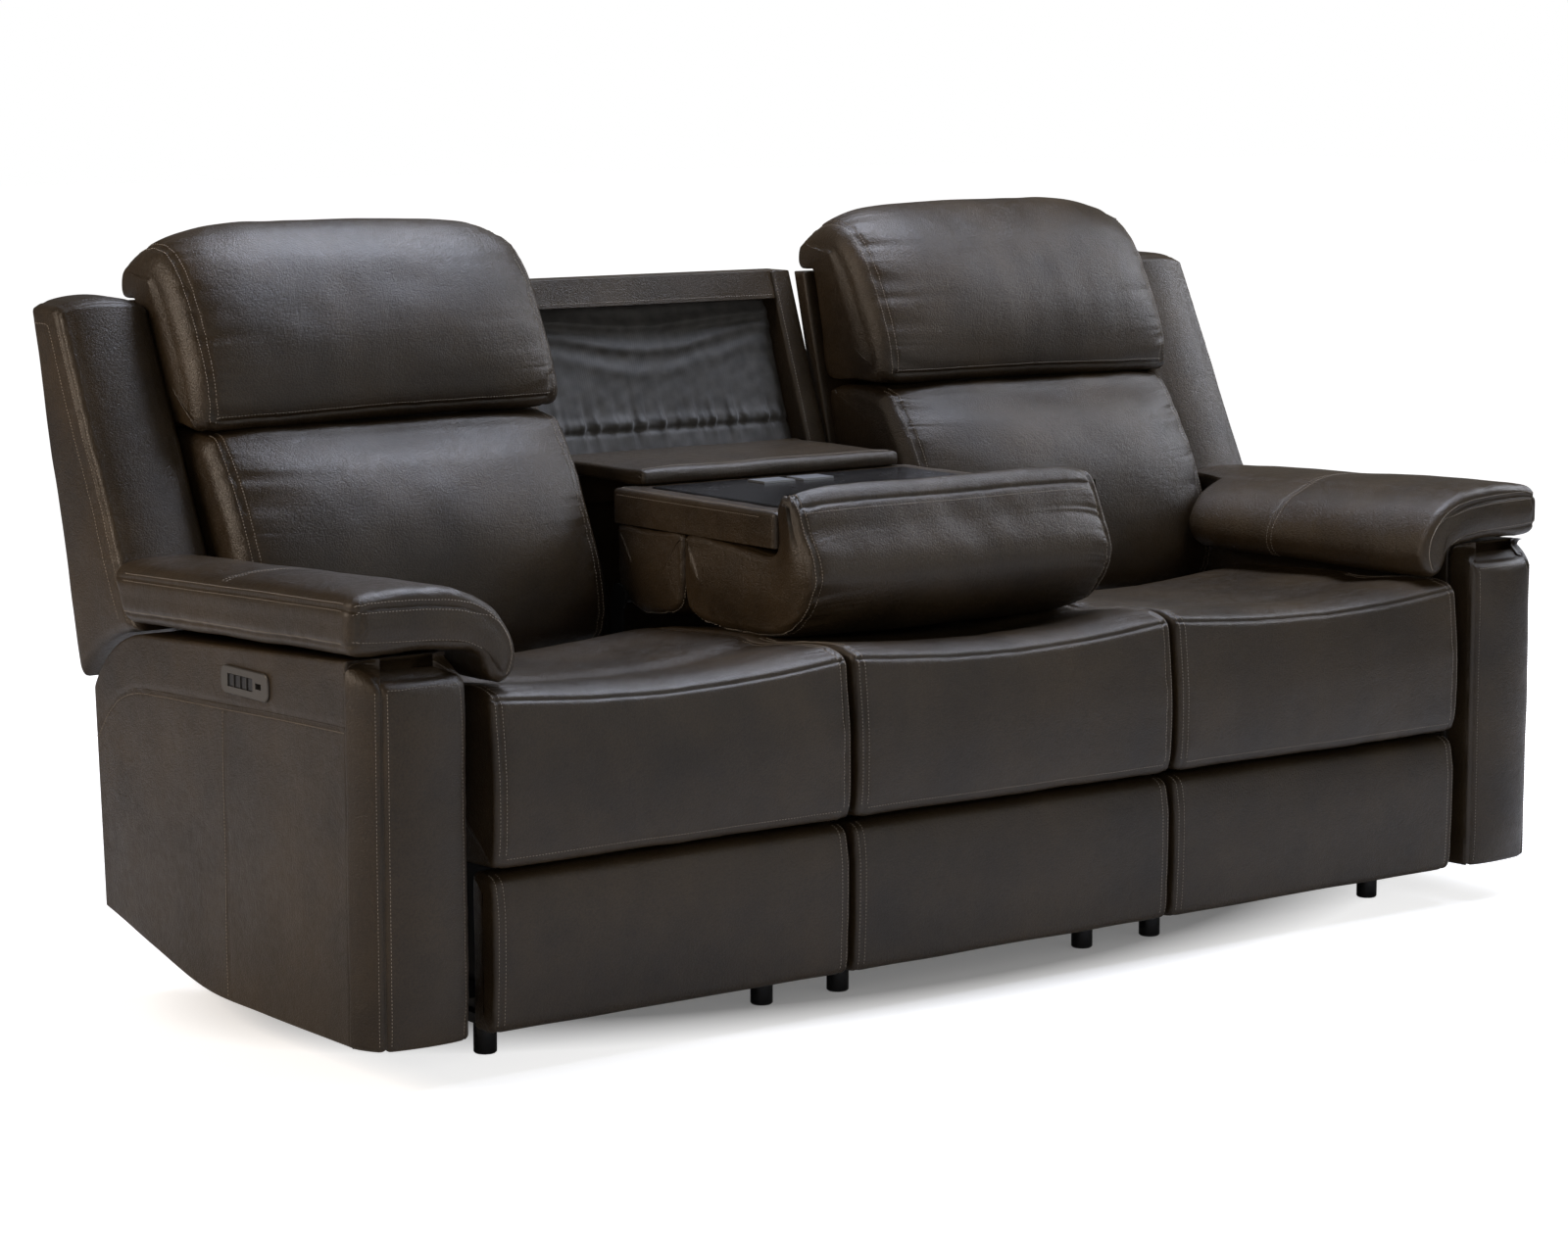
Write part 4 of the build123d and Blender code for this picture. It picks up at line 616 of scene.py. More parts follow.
SIDES = {"left": -1, "right": 1}
BACK_IN, BACK_OUT = 308, 932
LUMBAR_OUT = 922
SHELL_FOOT = (722.5, 250)
SHELL_SLOPE = 0.25
SHELL_THICK = 30
SHELL_HIGH = 978
HINGE = (740, 804)  # headrest's rod, back and height
FINE = 16  # samples between a cushion section's points
SOFT_ROWS = (2 * FINE, 10 * FINE)  # front of a back cushion or headrest


def shell_at(height):
    """Distance back of the shell's front face."""
    return SHELL_FOOT[0] + (height - SHELL_FOOT[1]) * SHELL_SLOPE


def fade(t, power=3.4):
    """Fullness across a cushion, 1 in the middle and 0 at the sides."""
    return 1 - np.abs(t) ** power


def lumbar_section(t):
    """Lower back cushion in side view."""
    full = fade(t)
    draw = 12 * (1 - full)
    rear = shell_at(620) - 1
    return spline(
        [
            (shell_at(448) - 8, 442), (640, 440), (596 + draw, 455), (572 + draw, 492),
            (583 - 14 * full + draw, 570), (622 - 30 * full + draw, 660),
            (666 - 25 * full + draw, 740), (690 + draw, 782 - draw * 0.4),
            (703 + draw, 797 - draw * 0.6), (735, 802 - draw * 0.5), (shell_at(790) - 14, 798),
            (shell_at(782) - 1, 782), (rear, 620), (shell_at(455) - 1, 455),
        ],
        FINE,
    )


def headrest_section(t):
    """Headrest in side view: full face, rolled crown, flat nape over the shell."""
    full = fade(t, 5.0)
    draw = 16 * (1 - full)
    return spline(
        [
            (shell_at(812) - 4, 809), (780, 807), (727, 805 - 8 * t * (t > 0)),
            (703 + draw * 0.5, 820 - 9 * t * (t > 0)), (703 - 4 * full + draw, 866),
            (733 - 20 * full + draw, 930), (770 - 20 * full + draw, 996 + 5 * full),
            (797 - 12 * full + draw, 1035 + 12 * full - draw * 0.5),
            (838, 1060 + 21 * full - draw), (886, 1066 + 22 * full - draw * 1.2),
            (924, 1050 + 14 * full - draw), (940, 1014), (941, 990), (932, 981),
            (shell_at(984) - 3, 980), (shell_at(970) - 5, 966), (shell_at(890) - 3, 890),
        ],
        FINE,
    )


def puckered(section, low, high, radius, seed, seams, spine, free, boxed=22, deep=2.8, swell=5, gather=6.6):
    """Stuffed cushion lofted across from low to high. Its side seams run boxed inside its ends,
    seams are the rows of the section that are sewn, and free is its stretch of soft rows;
    gathers fade from all the seams."""
    grid = sleeve(section, low, high, radius, 88, free)
    half, middle = (high - low) / 2, (high + low) / 2
    along = arc_length(grid, 0)
    across = grid[..., 0]
    from_side = half - boxed - np.abs(across - middle)
    left = across < middle
    pinch = np.where(left, gathers(along, 9, seed), gathers(along, 9, seed + 60))
    reach = 8 + 46 * np.where(left, ripple(along, 24, seed + 8), ripple(along, 24, seed + 9)) ** 1.6
    sink = groove(from_side, deep, 2.8)
    sink += -gather * pinch * np.exp(-np.clip(from_side, 0, None) / reach) * (from_side > -1)
    sink += -gather * 0.7 * pinch * np.exp(-np.clip(-from_side, 0, None) / 11) * (from_side <= -1)
    for row in seams:
        away = np.abs(along - along[row : row + 1])
        inside = np.clip(from_side / 12, 0, 1)
        sink += groove(away, 2.8, 3.2) * inside
        sink += -2.6 * gathers(across + 3000, 12, seed + row) * np.exp(-away / 13) * inside
    sink += 1.8 * unrest(grid, 210, seed + 2) + 0.6 * unrest(grid, 75, seed + 3)
    sink[:, :2] = sink[:, -2:] = -0.5
    return closed(raised(grid, sink), spine, swell)


def side_lines(section, middle, half, places, first, last):
    """Paths for stitches down both sides of a cushion, at places in from its ends, each along a
    run of the section's samples."""
    lines = []
    for s in (-1, 1):
        for away in places:
            t = s * (half - away) / half
            loop = section(t)[first:last]
            lines.append(np.column_stack([np.full(len(loop), middle + t * half), loop]))
    return lines


LUG_HALF, LUG_WIDE, LUG_HIGH, LUG_OUT = 7, 24, 816, 75

middle, half = (BACK_IN + LUMBAR_OUT) / 2, (LUMBAR_OUT - BACK_IN) / 2
cushion_lines = side_lines(lumbar_section, middle, half, (17, 27), 2 * FINE, 9 * FINE)
spine = [(665, 500), (740, 740)]
cushion = puckered(lumbar_section, BACK_IN, LUMBAR_OUT, 28, 51, (), spine, SOFT_ROWS, swell=3)

middle, half = (BACK_IN + BACK_OUT) / 2, (BACK_OUT - BACK_IN) / 2
headrest_lines = side_lines(headrest_section, middle, half, (17, 27), 3 * FINE, 11 * FINE)
across = np.linspace(-0.92, 0.92, 70)
headrest_lines.append([(middle + t * half, *headrest_section(t)[3 * FINE + 4]) for t in across])
spine = [(780, 860), (850, 1010)]
headrest = puckered(headrest_section, BACK_IN, BACK_OUT, 30, 71, (3 * FINE,), spine, SOFT_ROWS)
lug = arc_points(HINGE, LUG_HALF, 180, 360, 14)
lug += [(HINGE[0] + LUG_HALF, LUG_HIGH), (HINGE[0] - LUG_HALF, LUG_HIGH)]
for name, sign in SIDES.items():
    cad = [f"back_cushion_{name}"]
    dress(f"back_cushion_cover_{name}", cushion, f"back_{name}", cad, cushion_lines, sign)
    body = f"headrest_{name}"
    dress(f"headrest_cover_{name}", headrest, body, [body], headrest_lines, sign)
    for k, x in enumerate((middle - LUG_OUT, middle + LUG_OUT)):
        near, far = x - LUG_WIDE / 2, x + LUG_WIDE / 2
        bevelled(f"headrest_lug_{name}_{k + 1}", lug, near, far, black_steel, body, sign, 0.6)

# ---------------------------------------------------------------- arm casings
# Hollow boxes of board and wood with hide drawn tight over them. The rear corner is an arc round
# the recline pivot, and the toe rises to the heel. A lapped seam runs above mid height and
# down in a curve to the heel, and an upright one stands under the control plate.

ARM_NEAR, ARM_FAR = 929, 1081
POST_SEAM = 62
PIVOT = (600, 342)
ARM_RADIUS = 193
ARM_SEAM = [(66, 478), (224, 474), (390, 467), (560, 461), (640, 455), (690, 438), (728, 408), (757, 372)]
ARM_HIGH, ARM_RISE = 535, 30  # over the pivot, and more at the front
PLATE_AT = (320, 504)
PLATE_HOLE = (53.5, 13.5)  # half size of the hole behind the control plate
HOLE_DEEP = 13
PLATE_FLAT = 22  # the hide lies flat this far round the hole
UPRIGHT_SEAM = 380


def arm_top(back):
    """Height of the arm's top edge, rising towards the front."""
    return ARM_HIGH + ARM_RISE * (PIVOT[0] - back) / (PIVOT[0] - POST_SEAM)


def shares(length, cell):
    """Shares of a length about one cell apart, closer together near both ends."""
    near = [0, 0.7, 1.8, 3.4, 5.5, 8]
    inner = np.linspace(11, length - 11, max(int((length - 22) / cell), 2))
    return np.concatenate([near, inner, [length - v for v in near[::-1]]]) / length


def patch(bottom, right, top, left, cell):
    """Grid of points between four edge paths; bottom and top run the same way, and so do the
    left and the right one, from bottom to top."""

    def run(path):
        return np.sum(np.linalg.norm(np.diff(path, axis=0), axis=1))

    u = shares(max(run(bottom), run(top)), cell)
    v = shares(max(run(left), run(right)), cell)
    b, t, l, r = resample(bottom, u), resample(top, u), resample(left, v), resample(right, v)
    uu, vv = u[:, None, None], v[None, :, None]
    flat = (1 - vv) * b[:, None] + vv * t[:, None] + (1 - uu) * l[None] + uu * r[None]
    corners = (1 - uu) * (1 - vv) * b[0] + uu * (1 - vv) * b[-1] + (1 - uu) * vv * t[0] + uu * vv * t[-1]
    return flat - corners


def border(grid):
    """Closed line round a grid's edge."""
    return np.concatenate([grid[:, 0], grid[-1, 1:], grid[-2::-1, -1], grid[0, -2:0:-1]])


def away_from(points, path):
    """Distance of each point from a path, in its plane."""
    path = np.array(path, float)
    best = np.full(points.shape[:-1], 1e9)
    for a, b in zip(path[:-1], path[1:]):
        run = b - a
        share = np.clip(((points - a) @ run) / (run @ run + 1e-9), 0, 1)
        best = np.minimum(best, np.linalg.norm(points - a - share[..., None] * run, axis=-1))
    return best


def rolled(distance, radius):
    """How far an edge rounded by radius draws in at a distance from its end."""
    return radius * (1 - np.sqrt(1 - (1 - np.clip(distance / radius, 0, 1)) ** 2))


def slab(face, near, far, radius, crown=2.0, relief=0, belly=None):
    """Padded board seen from the side: face is its grid of (back, height), its two sides stand
    at near and far, and its edges turn over by radius. relief is added to the far side, and
    belly(back, height) gives how far its rim swells between the two sides."""
    rim = border(face)
    inside = away_from(face, np.concatenate([rim, rim[:1]]))
    drawn = rolled(inside, radius) - crown * (1 - np.exp(-inside / 45))
    outer = np.concatenate([(far - drawn + relief)[..., None], face], -1)
    inner = np.concatenate([(near + drawn)[..., None], face], -1)
    places = np.linspace(near + radius, far - radius, max(int((far - near) / 8), 3))
    band = np.empty((len(rim), len(places), 3))
    band[..., 1:] = rim[:, None]
    band[..., 0] = places[None]
    if belly:
        swell = belly(*rim.T)[:, None] * np.sin(np.pi * np.linspace(0, 1, len(places)))[None] ** 0.7
        push = rim - shrink(rim, 1.0)
        band[..., 1:] += push[:, None] * swell[..., None]
    return [(outer, False), (inner, False), (band, True)]


def flat_unrest(face, size, seed):
    """Unevenness over a side face."""
    return unrest(np.concatenate([np.zeros(face.shape[:-1] + (1,)), face], -1), size, seed)


def casing_face():
    """Side of the arm casing as a grid."""
    arc = arc_points(PIVOT, ARM_RADIUS, 31.55, 90, 24)
    toe, heel = (POST_SEAM, 56), (744, 127)
    bottom = spline([toe, (300, 56), (452, 60), (600, 92), (700, 117), heel], 10, closed=False)
    rear = [heel, (764, 443)] + arc[1:8]
    top = [(back, arm_top(back)) for back in (POST_SEAM, 400, PIVOT[0])] + arc[-2:6:-1]
    return patch(bottom, rear, top, [toe, top[0]], 4.5)


def casing(seed):
    """Arm casing with a hole behind the control plate."""
    face = casing_face()
    upright = [(UPRIGHT_SEAM, 60), (UPRIGHT_SEAM, 464)]
    relief = groove(away_from(face, ARM_SEAM), 1.8, 4.0) + groove(away_from(face, upright), 0.8, 3.0)
    relief += 1.1 * flat_unrest(face, 240, seed) + 0.4 * flat_unrest(face, 80, seed + 1)
    edge = np.clip(away_from(face, border(face)) / 25, 0, 1)
    grids = slab(face, ARM_NEAR, ARM_FAR, 5, 1.2, relief * edge)
    outer = grids[0][0]
    gap = (np.abs(face - PLATE_AT) - PLATE_HOLE).max(-1)
    flush = np.clip(1 - gap / PLATE_FLAT, 0, 1)
    outer[..., 0] = outer[..., 0] * (1 - flush) + (ARM_FAR - 0.4) * flush
    outer[..., 0] -= HOLE_DEEP * np.clip(-gap / 2, 0, 1)
    return grids


main = [(ARM_FAR, *p) for p in spline(ARM_SEAM, 10, closed=False)]
upright = [(ARM_FAR, UPRIGHT_SEAM, z) for z in np.linspace(462, 62, 60)]
lines = [
    [(x, d, z - 7) for x, d, z in main],
    [(ARM_FAR, UPRIGHT_SEAM + 6, z) for z in np.linspace(458, 62, 60)],
]
hems = [main, upright]
cover = casing(91)
for name, sign in SIDES.items():
    dress(f"arm_casing_{name}", cover, "base", [f"arm_shell_{name}"], lines, sign, hems)

# ---------------------------------------------------------------- arm front posts
# A padded upright board closes each arm in front: a flat face between two seams, a strip swept
# back to the side, and a top strip that slopes up to the pad.

POST_LOW, POST_HIGH = 57, 541  # in front
POST_RISE, POST_DEEP = 24, 56  # its top rises towards the rear, over this distance
POST_ROLL = 20  # radius of its top edge
POST_SEAMS = (ARM_NEAR + 8, 1058)  # sides of its flat face
POST_MIDDLE, POST_FULL = 995, 64  # the face's middle, and how far its swell reaches


def post_loop():
    """Post from above: inner rear corner, inner seam, face, outer seam, swept strip."""
    return spline(
        [
            (ARM_NEAR + 1, POST_SEAM - 1), (ARM_NEAR, 30), (ARM_NEAR + 3, 13), (ARM_NEAR + 9, 8),
            (990, 3), (1050, 7), (1061, 10), (1073, 26), (1082, 46),
            (ARM_FAR + 3, POST_SEAM - 3), (ARM_FAR - 3, POST_SEAM - 1), (1000, POST_SEAM - 1),
        ],
        10,
    )


def rise(back):
    """Rise of the post's top towards the rear."""
    return POST_RISE * np.clip((back - 6) / POST_DEEP, -0.1, 1)


def post(seed):
    """Post as stacked level loops, drawn in at the top, which slopes up towards the rear."""
    loop = post_loop()
    tall = POST_HIGH - POST_LOW
    slope = tall + rise(loop[:, 1])
    v = shares(tall, 7)
    grid = np.empty((len(loop), len(v), 3))
    for j, share in enumerate(v):
        draw = max(rolled((1 - share) * tall, POST_ROLL), 4 * (1 - min(share * tall / 4, 1)))
        grid[:, j, :2] = shrink(loop, draw)
        grid[:, j, 2] = POST_LOW + slope * share
    across, back, height = grid.transpose(2, 0, 1)
    crown = np.clip(1 - ((across - POST_MIDDLE) / POST_FULL) ** 2, 0, 1) ** 0.7
    crown = crown * np.sin(np.clip((POST_HIGH + 4 - height) / 90, 0, 1) * np.pi / 2)
    crown = crown * np.sin(np.clip((height - POST_LOW) / 60, 0, 1) * np.pi / 2)
    front = back < 14
    inner, outer = (np.abs(across - seam) for seam in POST_SEAMS)
    sink = groove(outer, 3.0, 3.5) * (back < 26) + groove(inner, 2.0, 3.0) * front
    sink += -2.0 * gathers(height, 11, seed + 2) * np.exp(-np.minimum(outer, inner) / 12) * front
    sink += 10 * crown * front + 0.9 * unrest(grid, 120, seed)
    grid = raised(grid, sink)
    caps = []
    for column in (0, -1):
        ring = grid[:, column]
        middle = np.stack([np.clip(ring[:, 0], 965, 1045), np.full(len(ring), 36.0)], 1)
        share = np.linspace(0, 1, 8)[None, :, None]
        cap = np.empty((len(ring), 8, 3))
        cap[..., :2] = ring[:, None, :2] * (1 - share) + middle[:, None] * share
        cap[..., 2] = ring[:, None, 2]
        if column:
            cap[..., 2] += rise(cap[..., 1]) - rise(ring[:, None, 1])
            cap[..., 2] += 6 * np.sin(share[..., 0] * np.pi / 2)
        caps.append((cap, True))
    return [(grid, True)] + caps


heights = np.linspace(64, 531, 90)
lines = [[(x, 4, z) for z in heights] for x in (1053, ARM_NEAR + 14)]
lines.append([(1066, 14, z) for z in heights])
lines.append([(x, 3, 532) for x in np.linspace(ARM_NEAR + 14, 1053, 26)])
cover = post(101)
for name, sign in SIDES.items():
    dress(f"arm_post_cover_{name}", cover, "base", [f"arm_front_post_{name}"], lines, sign)

# ---------------------------------------------------------------- arm pads
# Long stuffed pads over the arms. The top panel rolls over the inner edge and hooks under;
# a boxed band with a seam above and below runs along the outer side and round the front.

PAD_START, PAD_LONG = 25, 606
PAD_TURN = 18  # radius of its front edge
PAD_SEAM = 372  # seam over the pad, distance back
PAD_SIDE = 1095
PAD_TOP_SEAM = [(1094, 638), (1042, 637), (980, 635), (926, 629), (890, 618), (864, 600)]
PAD_TOP_SEAM += [(853, 578), (850, 555), (858, 530)]
PAD_LOW_SEAM = [(1094, 587), (1027, 583), (955, 579), (919, 573), (899, 560), (889, 545), (880, 528)]
PAD_ROW = 9
WING_FOOT, WING_SLOPE = (636, 535.7), 0.487


def wing_front(height):
    """Distance back of the wing's front edge."""
    return WING_FOOT[0] + (height - WING_FOOT[1]) * WING_SLOPE


def pad_drop(back):
    """How far the pad has come down at a distance back."""
    return 24 * np.clip((back - 60) / 560, 0, 1)


def pad_loop(back):
    """Pad cut across: underside, outer band, top panel, inner roll and hook."""
    drop = pad_drop(back)
    return spline(
        [
            (900, 560 - drop * 0.7), (960, 571 - drop), (1060, 571 - drop), (1084, 575 - drop),
            (1094, 587 - drop), (1095, 612 - drop), (1094, 636 - drop), (1084, 649 - drop),
            (1050, 657 - drop), (985, 657 - drop), (925, 648 - drop), (872, 622 - drop * 0.9),
            (843, 583 - drop * 0.6), (838, 553 - drop * 0.3), (845, 531), (862, 520), (880, 525),
            (891, 541),
        ],
        PAD_ROW,
    )


def pad_end(x, z):
    """Distance back at which the pad stops: against the wing, and short of the back cushion."""
    cushion = 548 + (z - 490) * 0.3
    share = np.clip((x - 928) / 14, 0, 1)
    return cushion + (wing_front(z) - 4 - cushion) * share * share * (3 - 2 * share)


def pad(seed):
    """Arm pad with its front face, sunk seams and puckers round the front and the inner roll."""
    ends = PAD_TURN * (1 - np.cos(np.linspace(0, np.pi / 2, 9)))
    middle = np.linspace(PAD_TURN, PAD_LONG - 6, 92)
    places = np.concatenate([ends[:-1], middle, [PAD_LONG - 2.5, PAD_LONG]])
    grid = np.empty((18 * PAD_ROW, len(places), 3))
    for j, s in enumerate(places):
        draw = rolled(s, PAD_TURN) * 0.8 + max(0, s - PAD_LONG + 6) * 0.7
        loop = shrink(pad_loop(PAD_START + s), draw)
        grid[:, j, 0], grid[:, j, 2] = loop.T
        grid[:, j, 1] = PAD_START + s / PAD_LONG * (pad_end(loop[:, 0], loop[:, 1]) - PAD_START)
    across, back, height = grid.transpose(2, 0, 1)
    around, along = arc_length(grid, 0), arc_length(grid, 1)
    sink = np.zeros(across.shape)
    for row in (4 * PAD_ROW, 6 * PAD_ROW):
        away = np.abs(around - around[row : row + 1])
        sink += groove(away, 2.6, 3.4) - 1.2 * ripple(along, 15, seed + row) * np.exp(-away / 12)
    upper = np.clip((height - 560) / 30, 0, 1) * (across < 1086)
    sink += groove(np.abs(back - PAD_SEAM), 2.4, 4.0) * upper
    near = np.abs(back - (PAD_START + PAD_TURN))
    sink += -2.0 * ripple(around, 12, seed + 3) * np.exp(-near / 20) * (across < 1050)
    sink += 1.8 * unrest(grid, 170, seed + 4) + 0.6 * unrest(grid, 60, seed + 5)
    sink[:, :2] *= 0.3
    sink[:, -3:] = -0.6
    grid = raised(grid, sink)
    caps = []
    spine = [(872, 545), (885, 585), (925, 607), (1000, 612), (1072, 612)]
    for column, rows in ((0, 30), (-1, 8)):
        ring = grid[:, column]
        share = np.linspace(0, 1, rows)
        cap = np.empty((len(ring), rows, 3))
        flat = cap[..., ::2] = drawn_in(ring[:, ::2], spine, share)
        if column:
            cap[..., 1] = pad_end(cap[..., 0], cap[..., 2])
        else:
            top, low = away_from(flat, PAD_TOP_SEAM), away_from(flat, PAD_LOW_SEAM)
            open_band = np.clip((flat[..., 0] - 872) / 40, 0, 1)
            dent = groove(top, 2.6, 3.8) + groove(low, 2.6, 3.8) * open_band
            dent += -1.8 * gathers(flat[..., 0] + flat[..., 1], 11, seed + 8) * np.exp(-top / 11)
            cap[..., 1] = ring[:, None, 1] - 5 * np.sin(share * np.pi / 2)
            cap[..., 1] -= dent * np.clip(share * 8, 0, 1)
        caps.append((cap, True))
    return [(grid, True)] + caps


side = np.linspace(PAD_START + 22, 640, 130)
lines = [[(PAD_SIDE, d, z - pad_drop(d)) for d in side] for z in (634, 645, 590)]
for seam, shift in ((PAD_TOP_SEAM, 6), (PAD_TOP_SEAM, -6), (PAD_LOW_SEAM[:5], 6)):
    path = spline(seam, 10, closed=False)
    lines.append([(x, PAD_START - 4, z + shift * np.clip((x - 850) / 60, 0.2, 1)) for x, z in path])
over = pad_loop(PAD_SEAM)[7 * PAD_ROW : 15 * PAD_ROW]
lines += [[(x, PAD_SEAM + e, z) for x, z in over] for e in (-5, 5)]
cover = pad(111)
for name, sign in SIDES.items():
    dress(f"arm_pad_cover_{name}", cover, "base", [f"arm_pad_{name}"], lines, sign)

# ---------------------------------------------------------------- wings
# Padded side of each outer back, riding over the arm's arc. The front edge is a puckered
# seam with stitches on both sides, and a row further back turns to the rear near the top.

WING_IN, WING_OUT = 934, 1080
WING_REAR = 37  # behind the shell's front
WING_HIGH = 972
WING_HEM = 41  # row of stitches behind the front edge
HEM_TURN = 944  # height at which that row turns to the rear


def wing_face():
    """Side of the wing as a grid."""
    arc = arc_points(PIVOT, ARM_RADIUS + 4, 32.2, 79.5, 20)
    peak, rear = wing_front(WING_HIGH), shell_at(WING_HIGH + 2)
    top = [(peak, WING_HIGH), (peak + 20, WING_HIGH + 7), (rear + 20, WING_HIGH + 8)]
    top.append((rear + WING_REAR, WING_HIGH + 2))
    return patch(arc[::-1], [(shell_at(450) + WING_REAR, 450), top[-1]], top, [arc[-1], top[0]], 4.5)


def wing(seed):
    """Wing with puckers along its front edge."""
    face = wing_face()
    back, height = face.transpose(2, 0, 1)
    behind = back - wing_front(height)
    reach = 10 + 22 * ripple(height, 31, seed + 2)
    relief = groove(behind - 11, 2.2, 3.5)
    relief += -3.0 * gathers(height, 10, seed) * np.exp(-np.abs(behind - 8) / reach)
    relief += 1.4 * flat_unrest(face, 180, seed + 3) + 0.4 * flat_unrest(face, 60, seed + 4)
    edge = np.clip(away_from(face, border(face)) / 12, 0, 1)
    return slab(face, WING_IN, WING_OUT, 15, 3.0, relief * edge, wing_belly)


def wing_belly(back, height):
    """Swell of the wing's front and top, none over the arm and behind."""
    ahead = np.clip(1 - (back - wing_front(height)) / 14, 0, 1)
    above = np.clip((height - 966) / 8, 0, 1)
    return 10 * np.maximum(ahead, above) * np.clip((height - 545) / 60, 0, 1)


heights = np.linspace(548, HEM_TURN, 90)
beside = [(wing_front(z) + WING_HEM, z) for z in heights]
beside += [(beside[-1][0] + 12 * (1 - math.cos(a)), HEM_TURN + 8 * math.sin(a)) for a in (0.4, 0.8, 1.2)]
beside += [(d, 952) for d in np.linspace(wing_front(HEM_TURN) + 56, shell_at(952) + 30, 12)]
lines = [[(WING_OUT, d, z) for d, z in beside]]
lines += [[(WING_OUT, wing_front(z) + e, z) for z in heights] for e in (5, 17)]
cover = wing(121)
for name, sign in SIDES.items():
    dress(f"back_wing_cover_{name}", cover, f"back_{name}", [f"back_wing_{name}"], lines, sign)

# ---------------------------------------------------------------- outside backs
# Board of each outer back with hide stapled over its rear, seamed near the foot, and the two
# steel hangers that carry it on the recline pivots.

SHELL_IN, SHELL_OUT, SHELL_FOOT_OUT = 294, 933, 924


def strip(front_at, thick, low, high, cell):
    """Board in side view as a grid, between two heights and behind front_at(height)."""
    a, b = (front_at(low), low), (front_at(low) + thick, low)
    c, d = (front_at(high) + thick, high), (front_at(high), high)
    return patch([a, b], [b, c], [d, c], [a, d], cell)


HANGER_NEAR = (SEAT_PITCH - 228, SEAT_PITCH + 222)
HANGER_THICK, HANGER_HALF = 6, 20
FOOT_SEAM = 330  # height of the seam near the foot of the three outside backs
NARROWED = 566  # below this height the board is narrower, to clear the arm

seam = shell_at(FOOT_SEAM) + SHELL_THICK
lines = [
    [(x, shell_at(z) + SHELL_THICK, z) for z in np.linspace(262, 966, 130)]
    for x in (SHELL_IN + 12, SHELL_OUT - 12)
]
lines.append([(x, seam, FOOT_SEAM) for x in np.linspace(SHELL_IN + 16, SHELL_FOOT_OUT - 12, 90)])
hanger = arc_points(PIVOT, HANGER_HALF, 90, 270, 16)
hanger += [(shell_at(PIVOT[1]) + 4, PIVOT[1] + edge) for edge in (-HANGER_HALF, HANGER_HALF)]
cover = slab(strip(shell_at, SHELL_THICK, SHELL_FOOT[1], SHELL_HIGH, 9), SHELL_IN, SHELL_OUT, 5, 0)
for grid, _ in cover:
    low = np.clip((NARROWED - grid[..., 2]) / 12, 0, 1)
    grid[..., 0] = np.minimum(grid[..., 0], SHELL_OUT - (SHELL_OUT - SHELL_FOOT_OUT) * low)
for name, sign in SIDES.items():
    dress(f"outside_back_{name}", cover, f"back_{name}", [f"back_shell_{name}"], lines, sign)
    for k, near in enumerate(HANGER_NEAR):
        far = near + HANGER_THICK
        bevelled(f"back_hanger_{name}_{k + 1}", hanger, near, far, black_steel, f"back_{name}", sign)

# ---------------------------------------------------------------- middle back
# Hide-covered rails round a recess that the folded console fills: two leaning side rails on
# beams, a top and a bottom rail, and a hide panel behind them.

RAIL_OUT, RECESS = 290, 250
KNEE = (771, 530)
RAIL_LEAN = math.radians(20.3)
RAIL_DEEP = 45 / math.cos(RAIL_LEAN)  # level cut of a 45 mm rail
RAIL_HIGH, BEAM_LOW, BEAM_HIGH = 980, 85, 130
TOP_RAIL_LOW = 936
LOW_RAIL = (640, 681)  # its underside and its top
REAR_THICK = 9


def rail_at(height):
    """Distance back of the rails' front at a height."""
    return KNEE[0] + (height - KNEE[1]) * math.tan(RAIL_LEAN)


lines = [[(RECESS + 6, rail_at(z), z) for z in np.linspace(700, 968, 50)]]
leaning = slab(strip(rail_at, RAIL_DEEP, KNEE[1] - 4, RAIL_HIGH, 8), RECESS, RAIL_OUT, 6, 1.0)
leg = slab(strip(lambda height: KNEE[0], RAIL_DEEP, BEAM_LOW, KNEE[1], 12), RECESS, RAIL_OUT, 4, 0)
for name, sign in SIDES.items():
    dress(f"middle_rail_{name}", leaning, "base", (), lines, sign)
    dress(f"middle_leg_{name}", leg, "base", (), (), sign)


def raw_timber(name):
    """Kiln-dried softwood, sawn and left bare: straight grain, matt, in streaks about 11 mm wide
    and 140 mm long."""
    made, tree, where = new_material(name)
    stretched = node(tree, "Mapping", {"Vector": where, "Scale": (90, 7, 90)})
    rings = node(tree, "TexNoise", {"Vector": stretched, "Scale": 1.0, "Detail": 5.0})
    tone = node(tree, "ValToRGB", {"Fac": rings}, [(0.3, "#b08a5c"), (0.7, "#c9a878")])
    grip = node(tree, "Bump", {"Height": rings, "Strength": 0.3, "Distance": 0.0006})
    shader = node(tree, "BsdfPrincipled", {"Base Color": tone, "Roughness": 0.75, "Normal": grip})
    node(tree, "OutputMaterial", {"Surface": shader})
    return made


timber = raw_timber("sawn_softwood")
BEAM_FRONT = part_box("center_back_frame")[0].y * 1000 - BACK_ZERO
beam = [(BEAM_FRONT, BEAM_LOW), (KNEE[0], BEAM_LOW), (KNEE[0], BEAM_HIGH), (BEAM_FRONT, BEAM_HIGH)]
for name, sign in SIDES.items():
    bevelled(f"middle_beam_{name}", beam, RECESS, RAIL_OUT, timber, "base", sign, 2.0)

